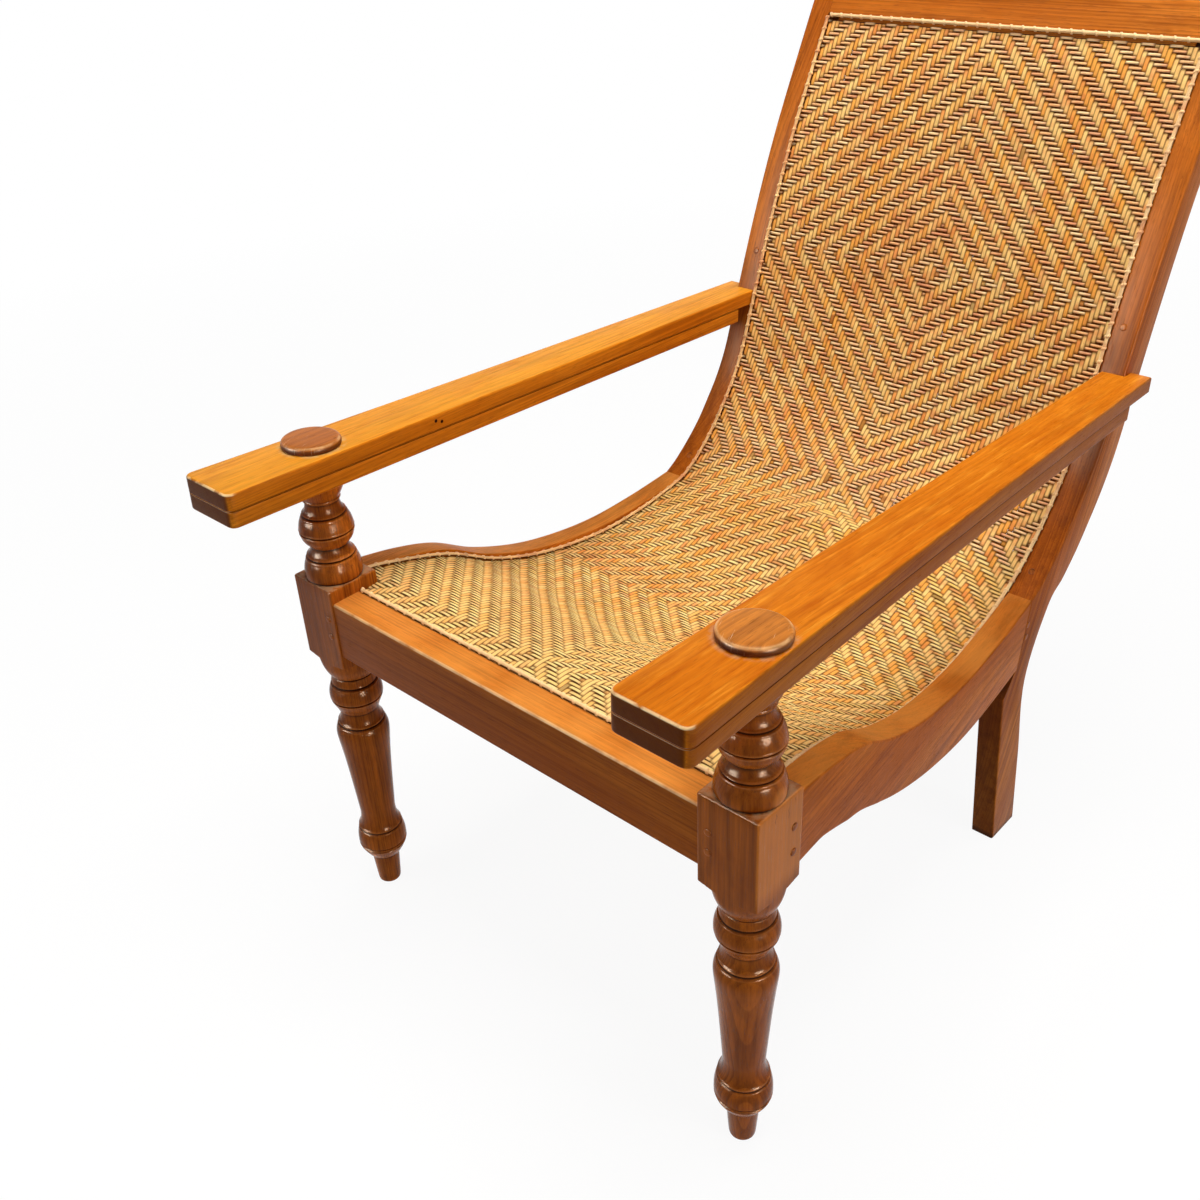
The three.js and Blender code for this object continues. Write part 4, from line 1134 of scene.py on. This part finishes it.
cap_edge = smooth([(30.4, 0.4), (31.2, 1.2), (31.5, 3.0), (31.4, 5.0), (30.7, 6.7), (29.2, 7.9),
                   (26.6, 8.6), (22, 8.9)], 4)
cloud, faces = lathe([(0, 0.4)] + cap_edge.tolist() + [(15, 9.0), (8, 9.0), (0, 9.0)], 96)
pair("cap", on_arm(cloud), faces, cap_finish, "arm_cap")

# %% One peg, and the places of all of them
def single(name, points, faces):
    """A small object, in metres, for a tree to copy."""
    mesh = bpy.data.meshes.new(name)
    mesh.from_pydata((points / 1000).tolist(), [], faces)
    return placed(name, mesh)


one_peg = single("one_peg", *lathe([(0, -10), (3.9, -10), (4.0, -9), (4.0, 0.3), (3.8, 0.62),
                                    (3.1, 0.85), (1.8, 0.98), (0, 1.02)], 24))
peg_inset = 12
peg_places = [((block_inner + peg_inset, -block_back, z), (0, -1, 0)) for z in (421.3, 398.6)]
peg_places += [((block_outer, block_back - peg_inset, z), (1, 0, 0)) for z in (422.5, 393.5)]
peg_places += [((post_outer, joint_y - 1, z), (1, 0, 0)) for z in (335, 318)]
for height in (rear_rail_height, middle_rail_height, back_top - 32):
    (y, z), along = on_back(height)
    peg_places.append(((post_inner + peg_inset, y, z), (0, -along[1], along[0])))
peg_places += [((-x, y, z), (-nx, ny, nz)) for (x, y, z), (nx, ny, nz) in peg_places]
print("pegs:", len(peg_places))

# %% [markdown]
# ## Geometry Nodes, in short
# A tree is a recipe that a modifier runs on a mesh. These helpers start a tree with named inputs, run
# it on points and lines given by this script, and keep the result as a plain mesh. Realize Instances
# turns the copies into real faces, which is what gets rendered.

# %% Start a tree, run a tree
def recipe(name, inputs):
    """A new tree with its inputs: its sheet, what is given to it, and where its result goes."""
    tree = bpy.data.node_groups.new(name, "GeometryNodeTree")
    tree.interface.new_socket("Geometry", in_out="INPUT", socket_type="NodeSocketGeometry")
    for title, kind in inputs:
        tree.interface.new_socket(title, in_out="INPUT", socket_type="NodeSocket" + kind)
    tree.interface.new_socket("Geometry", in_out="OUTPUT", socket_type="NodeSocketGeometry")
    s = Sheet(tree)
    return s, s.nodes.new("NodeGroupInput").outputs, s.nodes.new("NodeGroupOutput")


def direction(s, title):
    """A direction that each point carries."""
    return s.node("GeometryNodeInputNamedAttribute", settings={"data_type": "FLOAT_VECTOR"}, Name=title)


def aligned(s, vector, axis, pivot="AUTO", before=None):
    """A turn that points an axis along a vector, after another turn if there is one."""
    return s.node("FunctionNodeAlignRotationToVector", settings={"axis": axis, "pivot_axis": pivot},
                  Rotation=before, Vector=vector)


def finish_tree(s, output, geometry, material):
    """The last two steps of every tree."""
    real = s.node("GeometryNodeRealizeInstances", geometry)
    s.put(output.inputs[0], s.node("GeometryNodeSetMaterial", Geometry=real, Material=material))


def run_tree(tree, mesh, values):
    """Run a tree on a mesh and keep what it makes as a plain mesh."""
    holder = placed("holder", mesh)
    modifier = holder.modifiers.new("tree", "NODES")
    modifier.node_group = tree
    for item in tree.interface.items_tree:
        if item.in_out == "INPUT" and item.name in values:
            modifier[item.identifier] = values[item.name]
    result = kept_mesh(holder)
    holder.modifiers.remove(modifier)
    bpy.data.objects.remove(holder)
    return result


def marked_mesh(name, points, edges, ways, numbers=None):
    """A mesh of points and lines, with named directions and numbers on its points."""
    mesh = bpy.data.meshes.new(name)
    mesh.from_pydata(np.asarray(points).tolist(), edges, [])
    for title, values in (numbers or {}).items():
        set_values(mesh, title, values)
    for title, values in ways.items():
        mesh.attributes.new(title, "FLOAT_VECTOR", "POINT").data.foreach_set(
            "vector", np.asarray(values, np.float32).ravel())
    return mesh


# %% Set the pegs
s, given, output = recipe("pegs_in_their_holes", [("Peg", "Object"), ("Size", "Float"),
                                                  ("Finish", "Material")])
shape = s.node("GeometryNodeObjectInfo", out="Geometry", Object=given["Peg"])
copies = s.node("GeometryNodeInstanceOnPoints", Points=given["Geometry"], Instance=shape,
                Rotation=aligned(s, direction(s, "out"), "Z"), Scale=given["Size"])
finish_tree(s, output, copies, given["Finish"])
places = marked_mesh("peg_places", in_place([place for place, _ in peg_places]), [],
                     {"out": [out for _, out in peg_places]})
pegs = run_tree(s.tree, places, {"Peg": one_peg, "Size": 1.0, "Finish": peg_finish})
bpy.data.objects.remove(one_peg)
peg_nodes = sorted(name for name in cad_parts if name.startswith("peg_"))
dress("pegs", pegs, peg_finish, peg_nodes)

# %% [markdown]
# ## The cane
# One sheet of split cane runs from the front rail over the seat and up the back. It is a twill: each
# strand passes over three and under three, and each row starts one strand further along, so the
# floats climb in steps. The weaver turned the steps round at the middle of the chair and again at
# set rows, which draws nested diamonds on the back and on the seat.
# A picture of a weave would look flat from close by and from the side, so every strand is real. The
# script lays each one as a line of points, one at every crossing, lifted where it passes over and
# lowered where it passes under. Geometry Nodes then sweep a flattened section along all the lines.

# %% The sheet's surface
bridge_shares = [(0, 0), (0.03, 0), (0.12, -0.2), (0.3, -0.15), (0.36, 0.15), (0.4, 0.6), (0.45, 1),
                 (0.53, 1), (0.58, 0.5), (0.65, 0.2), (0.72, -0.25), (0.87, -0.35), (0.97, 0), (1, 0)]
bridge_high, reach, softness = 32, 24, 9.0
cane_lane = np.vstack([[(rail_back + gap, step_top), (step_back, step_top)], seat_edge, cane_edge[1:]])
end_point, end_along = on_back(cane_top)
end_point = end_point - rebate * np.array([-end_along[1], end_along[0]]) - gap * end_along
cane_lane = np.vstack([cane_lane[cane_lane[:, 1] < end_point[1] - 1], [end_point]])
lane_at = np.concatenate([[0], np.cumsum(np.linalg.norm(np.diff(cane_lane, axis=0), axis=1))])
sheet_long = lane_at[-1]
at = np.arange(0, sheet_long, 1.0)
lane = np.column_stack([np.interp(at, lane_at, cane_lane[:, k]) for k in (0, 1)])
spread = np.exp(-(np.arange(-reach, reach + 1) / softness) ** 2 / 2)
spread /= spread.sum()
lane = np.vstack([2 * lane[0] - lane[reach:0:-1], lane, 2 * lane[-1] - lane[-2:-reach - 2:-1]])
lane = np.column_stack([np.convolve(lane[:, k], spread, "valid") for k in (0, 1)])
lane_along = directions(lane)
lane_bridge = bridge_high * np.interp(at / sheet_long, *zip(*bridge_shares))
lane_bridge = np.convolve(np.pad(lane_bridge, reach, mode="edge"), spread, "valid")
lane_half = np.where(lane[:, 0] < block_back + gap, block_inner,
                     np.maximum(rail_lean(lane[:, 0]) - timber, post_inner)) - gap
print("sheet:", round(sheet_long), "mm long and", round(2 * lane_half.max()), "mm wide")


def on_sheet(x, along, off):
    """A point at a place across and along the sheet, lifted off its underside, and the way it faces."""
    def spot(x, along, lift):
        y, z, along_y, along_z, half, bridge = (np.interp(along, at, values) for values in (
            *lane.T, *lane_along.T, lane_half, lane_bridge))
        lift = lift + gap + bridge * np.maximum(0, 1 - (x / (half - ledge_wide)) ** 2)
        return np.column_stack([x, y - lift * along_z, z + lift * along_y])

    x, along = np.asarray(x, float), np.asarray(along, float)
    step = 4
    down_run = spot(x, along + step, 0) - spot(x, along - step, 0)
    side_run = spot(x + step, along, 0) - spot(x - step, along, 0)
    facing = np.cross(side_run, down_run)
    facing /= np.linalg.norm(facing, axis=1)[:, None]
    return spot(x, along, off), facing


# %% The weaver's rule
pitch, half_pitch, rows_to_turn, diamond_height = 5.3, 2.6, 56, 652
back_middle = np.interp(diamond_height, lane[:, 1], at)
row_zero = int(round((back_middle - half_pitch) / pitch))
count_rows = int((sheet_long - half_pitch) / pitch)
count_columns = int((lane_half.max() - 2.0) / pitch)


def lengthwise_on_top(column, row):
    """True where the lengthwise strand lies over the crosswise one."""
    fold = np.abs((row - row_zero + rows_to_turn) % (2 * rows_to_turn) - rows_to_turn)
    return (np.abs(column) + fold) % 6 < 3


print("strands:", 2 * count_columns + 1, "lengthwise,", count_rows, "crosswise, middle row", row_zero)

# %% Lay the strands
chance = np.random.default_rng(7)
float_lift, sheet_middle = 0.8, 1.5
shift, drift, drift_every = 0.12, 0.16, 12


def wander(count, every, amount):
    """Small slow changes along a line of points, as a hand makes them."""
    knots = np.arange(0, count + every, every)
    return np.interp(np.arange(count), knots, chance.normal(0, amount, len(knots)))


def rounded_floats(over):
    """Heights along a strand: over is +1, under is -1, with a slight arch on each float."""
    level = np.where(over, 1.0, -1.0)
    padded = np.pad(level, 1, mode="edge")
    return 0.14 * padded[:-2] + 0.72 * level + 0.14 * padded[2:]


def strand_lines(strands):
    """One mesh of many strands, each a run of (x, along, level) with its own tone."""
    points, facings, edges, values = [], [], [], {"tone": [], "along": [], "level": []}
    start = 0
    for x, along, level in strands:
        if len(x) < 3:
            continue
        spot, facing = on_sheet(x, along, sheet_middle + float_lift * level)
        points.append(spot)
        facings.append(facing)
        edges.extend((start + k, start + k + 1) for k in range(len(x) - 1))
        start += len(x)
        run = np.concatenate([[0], np.cumsum(np.linalg.norm(np.diff(spot, axis=0), axis=1))])
        values["tone"].append(np.full(len(x), chance.random()))
        values["along"].append(run / 1000 + chance.random() * 30)
        values["level"].append(level)
    numbers = {title: np.concatenate(parts) for title, parts in values.items()}
    return marked_mesh("strand_lines", in_place(np.vstack(points)), edges,
                       {"facing": np.vstack(facings)}, numbers)


def lengthwise(columns):
    """The lengthwise strands. Each keeps its column, and ends where the sheet has grown narrower."""
    rows = np.arange(count_rows)
    for column in columns:
        x = column * pitch + chance.normal(0, shift)
        along = half_pitch + rows * pitch
        keep = rows[np.abs(x) < np.interp(along, at, lane_half) - 1.6]
        if len(keep) < 3:
            continue
        over = lengthwise_on_top(column, keep)
        yield x + wander(len(keep), drift_every, drift), along[keep], rounded_floats(over)


def crosswise(rows):
    """The crosswise strands, from edge to edge."""
    columns = np.arange(-count_columns, count_columns + 1)
    for row in rows:
        along = half_pitch + row * pitch + chance.normal(0, shift)
        half = np.interp(along, at, lane_half) - 1.0
        keep = columns[np.abs(columns * pitch) < half]
        x = keep * pitch
        x[0], x[-1] = -half, half
        over = ~lengthwise_on_top(keep, row)
        yield x, along + wander(len(keep), drift_every, drift), rounded_floats(over)


# %% [markdown]
# ## Cane as a material
# Split cane is pale gold with a hard, slightly glossy skin. Each strand has its own tone, which the
# mesh carries, and it changes slowly along the strand, with a darker joint now and then. Fine lines
# run along it. Where a strand dips under the others, and along the flanks of every strand, the colour
# is painted shade, so the gaps and low places come out dark brown.

# %% Cane finish
def cane_material(name, gold, straw, blush, shade, dip_shade=0.9, flanks=(0.8, 0.45)):
    finish, s, shader = new_finish(name)
    tone, along, level, high, side = map(s.attribute, ("tone", "along", "level", "high", "side"))
    where = s.place()
    base = s.mix(s.range(tone, 0.15, 0.85), gold, straw)
    slow = s.noise(s.merge(along, s.times(tone, 37.0)), 42.0)
    base = s.lay(base, blush, s.range(slow, 0.46, 0.68), 0.7)
    base = s.lay(base, blush, s.range(s.noise(where, 9.0, 3.0), 0.45, 0.68), 0.25)
    # The front of the seat is lighter and yellower
    base = s.lay(base, straw, s.range(s.split(where)[1], -0.02, -0.3), 0.45)
    drawn_out = s.merge(s.times(along, 9.0), s.times(side, 3.0), s.times(tone, 50.0))
    lines = s.noise(drawn_out, 5.0, 3.0, 0.6)
    base = s.lay(base, shade, s.range(lines, 0.48, 0.75), 0.45)
    joint = s.noise(s.merge(along, s.times(tone, 91.0), 5.0), 26.0, 0.0)
    base = s.lay(base, shade, s.range(joint, 0.79, 0.82), 0.5)
    # Painted shade: a strand goes dark where it dips under others and along its flanks.
    # The back of the sheet shows the other side of each strand, so both are turned round there
    dip = s.range(s.times(level, s.calc("SIGN", high)), 0.8, -0.4)
    base = s.lay(base, shade, dip, dip_shade)
    base = s.lay(base, shade, s.range(s.calc("ABSOLUTE", high), *flanks), 0.8)
    s.fill(shader, Base_Color=base, Roughness=s.calc("MULTIPLY_ADD", lines, 0.25, 0.45),
           Specular_IOR_Level=0.0, Normal=s.bump(lines, 0.0002, 0.5))
    return finish


cane_finish = cane_material("cane_golden", colour(248, 174, 80), colour(254, 212, 132),
                            colour(232, 138, 76), colour(84, 32, 10))
# The back's crosswise strands take a darker painted shade, and more of it, than the seat's.
back_cross_finish = cane_material("cane_crosswise_back", colour(250, 190, 128), colour(255, 218, 160),
                                  colour(224, 142, 102), colour(62, 20, 8), dip_shade=0.95,
                                  flanks=(0.7, 0.4))
seat_cross_finish = cane_material("cane_crosswise_seat", colour(249, 203, 112), colour(255, 226, 149),
                                  colour(216, 138, 86), colour(84, 36, 14), dip_shade=0.8)
# The binder's lower half takes the painted shade of a dip; its flanks get almost none.
binder_finish = cane_material("binder_cane", colour(250, 200, 136), colour(254, 224, 168),
                              colour(218, 142, 96), colour(92, 46, 24), flanks=(0.1, -0.7))

# %% Sweep the strands
def marked_section(s, section, scale):
    """A section whose points know how high and how far to the side they lie, for the finish."""
    high, side, _ = s.split(s.vector("SCALE", s.node("GeometryNodeInputPosition"), Scale=scale))
    for title, value in (("high", high), ("side", side)):
        section = s.node("GeometryNodeStoreNamedAttribute", Geometry=section, Name=title, Value=value,
                         settings={"data_type": "FLOAT", "domain": "POINT"})
    return section


def facing_line(s, mesh):
    """The lines of a mesh as curves that face away from the sheet."""
    return s.node("GeometryNodeSetCurveNormal", settings={"mode": "FREE"},
                  Curve=s.node("GeometryNodeMeshToCurve", Mesh=mesh), Normal=direction(s, "facing"))


s, given, output = recipe("woven_strands", [("Width", "Float"), ("Thickness", "Float"),
                                            ("Finish", "Material")])
circle = s.node("GeometryNodeCurvePrimitiveCircle", Resolution=6, Radius=0.5)
section = s.node("GeometryNodeTransform", Geometry=marked_section(s, circle, 2.0),
                 Scale=s.merge(given["Thickness"], given["Width"], 1.0))
swept = s.node("GeometryNodeCurveToMesh", Curve=facing_line(s, given["Geometry"]),
               Profile_Curve=section, Fill_Caps=True)
finish_tree(s, output, swept, given["Finish"])
strands_tree = s.tree

middle_row = count_rows // 2
for name, strands, width, finish in (
        ("cane_lengthwise_left", lengthwise(range(-count_columns, 0)), 0.0064, cane_finish),
        ("cane_lengthwise_right", lengthwise(range(count_columns + 1)), 0.0064, cane_finish),
        ("cane_crosswise_seat", crosswise(range(middle_row)), 0.0044, seat_cross_finish),
        ("cane_crosswise_back", crosswise(range(middle_row, count_rows)), 0.0037, back_cross_finish)):
    mesh = run_tree(strands_tree, strand_lines(list(strands)),
                    {"Width": width, "Thickness": 0.0019, "Finish": finish})
    dress(name, mesh, finish, ["cane_panel"], crease=75)

# %% [markdown]
# ## The binding along the edges
# A round cane lies along each edge of the sheet and hides the ends of the strands. A narrow strip is
# wound over it every so often and drawn through to the ledge below. One tree makes both: it sweeps
# a round section along the edge, and sets a bent strip at even steps along the same line.

# %% One tie, bent over the binder
def tie_shape(radius, wide, thick, reach=1.9, steps=10):
    """A narrow strip bent over a round cane that runs along Z, open at the bottom."""
    strip = [(-wide / 2, 0), (-wide / 2 * 0.6, thick), (wide / 2 * 0.6, thick), (wide / 2, 0)]
    cloud = [((radius + lift) * math.cos(a), (radius + lift) * math.sin(a), z + 1.1 * a / reach)
             for a in np.linspace(-reach, reach, steps) for z, lift in strip]
    faces = [(a, d, c, b) for a, b, c, d in rings(steps, 4)]
    return np.array(cloud), faces + [(0, 1, 2, 3), tuple(range(4 * steps - 4, 4 * steps))[::-1]]


one_tie = single("one_tie", *tie_shape(2.2, 3.4, 0.95))
for title in ("high", "level"):
    set_values(one_tie.data, title, np.ones(len(one_tie.data.vertices)))
print("tie:", len(one_tie.data.polygons), "faces")

# %% Sweep the binder and set its ties
s, given, output = recipe("binder_with_ties", [("Tie", "Object"), ("Thickness", "Float"),
                                               ("Tie spacing", "Float"), ("Unevenness", "Float"),
                                               ("Finish", "Material")])
line = facing_line(s, given["Geometry"])
ring = s.node("GeometryNodeCurvePrimitiveCircle", Resolution=12,
              Radius=s.times(given["Thickness"], 0.5))
cord = s.node("GeometryNodeCurveToMesh", Curve=line, Profile_Curve=marked_section(s, ring, 455.0),
              Fill_Caps=True)
dots = s.node("GeometryNodeCurveToPoints", settings={"mode": "LENGTH"}, Curve=line,
              Length=given["Tie spacing"])
lean = s.node("FunctionNodeRandomValue", out=1, settings={"data_type": "FLOAT"}, Seed=3)
for socket, limit in zip(lean.node.inputs[2:4], (-1.0, 1.0)):
    socket.default_value = limit
lean = s.times(lean, given["Unevenness"])
turn = aligned(s, dots.node.outputs["Tangent"], "Z")
turn = aligned(s, direction(s, "facing"), "X", "Z", turn)
turn = s.node("FunctionNodeRotateRotation", settings={"rotation_space": "LOCAL"}, Rotation=turn,
              Rotate_By=s.merge(lean, 0.0, lean))
ties = s.node("GeometryNodeInstanceOnPoints", Points=dots, Rotation=turn,
              Instance=s.node("GeometryNodeObjectInfo", out="Geometry", Object=given["Tie"]))
both = s.node("GeometryNodeJoinGeometry", cord)
s.put(both.node.inputs[0], ties)
finish_tree(s, output, both, given["Finish"])
binder_tree = s.tree

# %% The four binders
binder_inset, binder_lift = 1.5, cane_thick + 0.5 + 2.4


def binder(name, x, along, node):
    """A binder with its ties, along a line of places on the sheet."""
    spots, facing = on_sheet(x, along, binder_lift + wander(len(along), 9, 0.14))
    edges = [(k, k + 1) for k in range(len(spots) - 1)]
    mesh = marked_mesh("binder_line", in_place(spots), edges, {"facing": facing},
                       {"tone": np.full(len(spots), chance.random()), "along": along / 1000,
                        "level": np.ones(len(spots))})
    result = run_tree(binder_tree, mesh, {"Tie": one_tie, "Thickness": 0.0044, "Tie spacing": 0.0145,
                                          "Unevenness": 0.16, "Finish": binder_finish})
    dress(name, result, binder_finish, [node], crease=60)


side_run = at[(lane[:, 0] > block_back + 5) & (at < sheet_long - 1)][::6]
edge = np.interp(side_run, at, lane_half) - binder_inset
for word, sign in (("right", 1), ("left", -1)):
    binder(f"binder_cord_{word}", sign * edge, side_run, f"binder_{word}")
for word, half, along in (("front", block_inner - 5, binder_inset),
                          ("top", post_inner - 6.9, sheet_long - binder_inset)):
    run = np.linspace(-1, 1, 90)
    binder(f"binder_cord_{word}", run * half, np.full(len(run), along), f"binder_{word}")
bpy.data.objects.remove(one_tie)
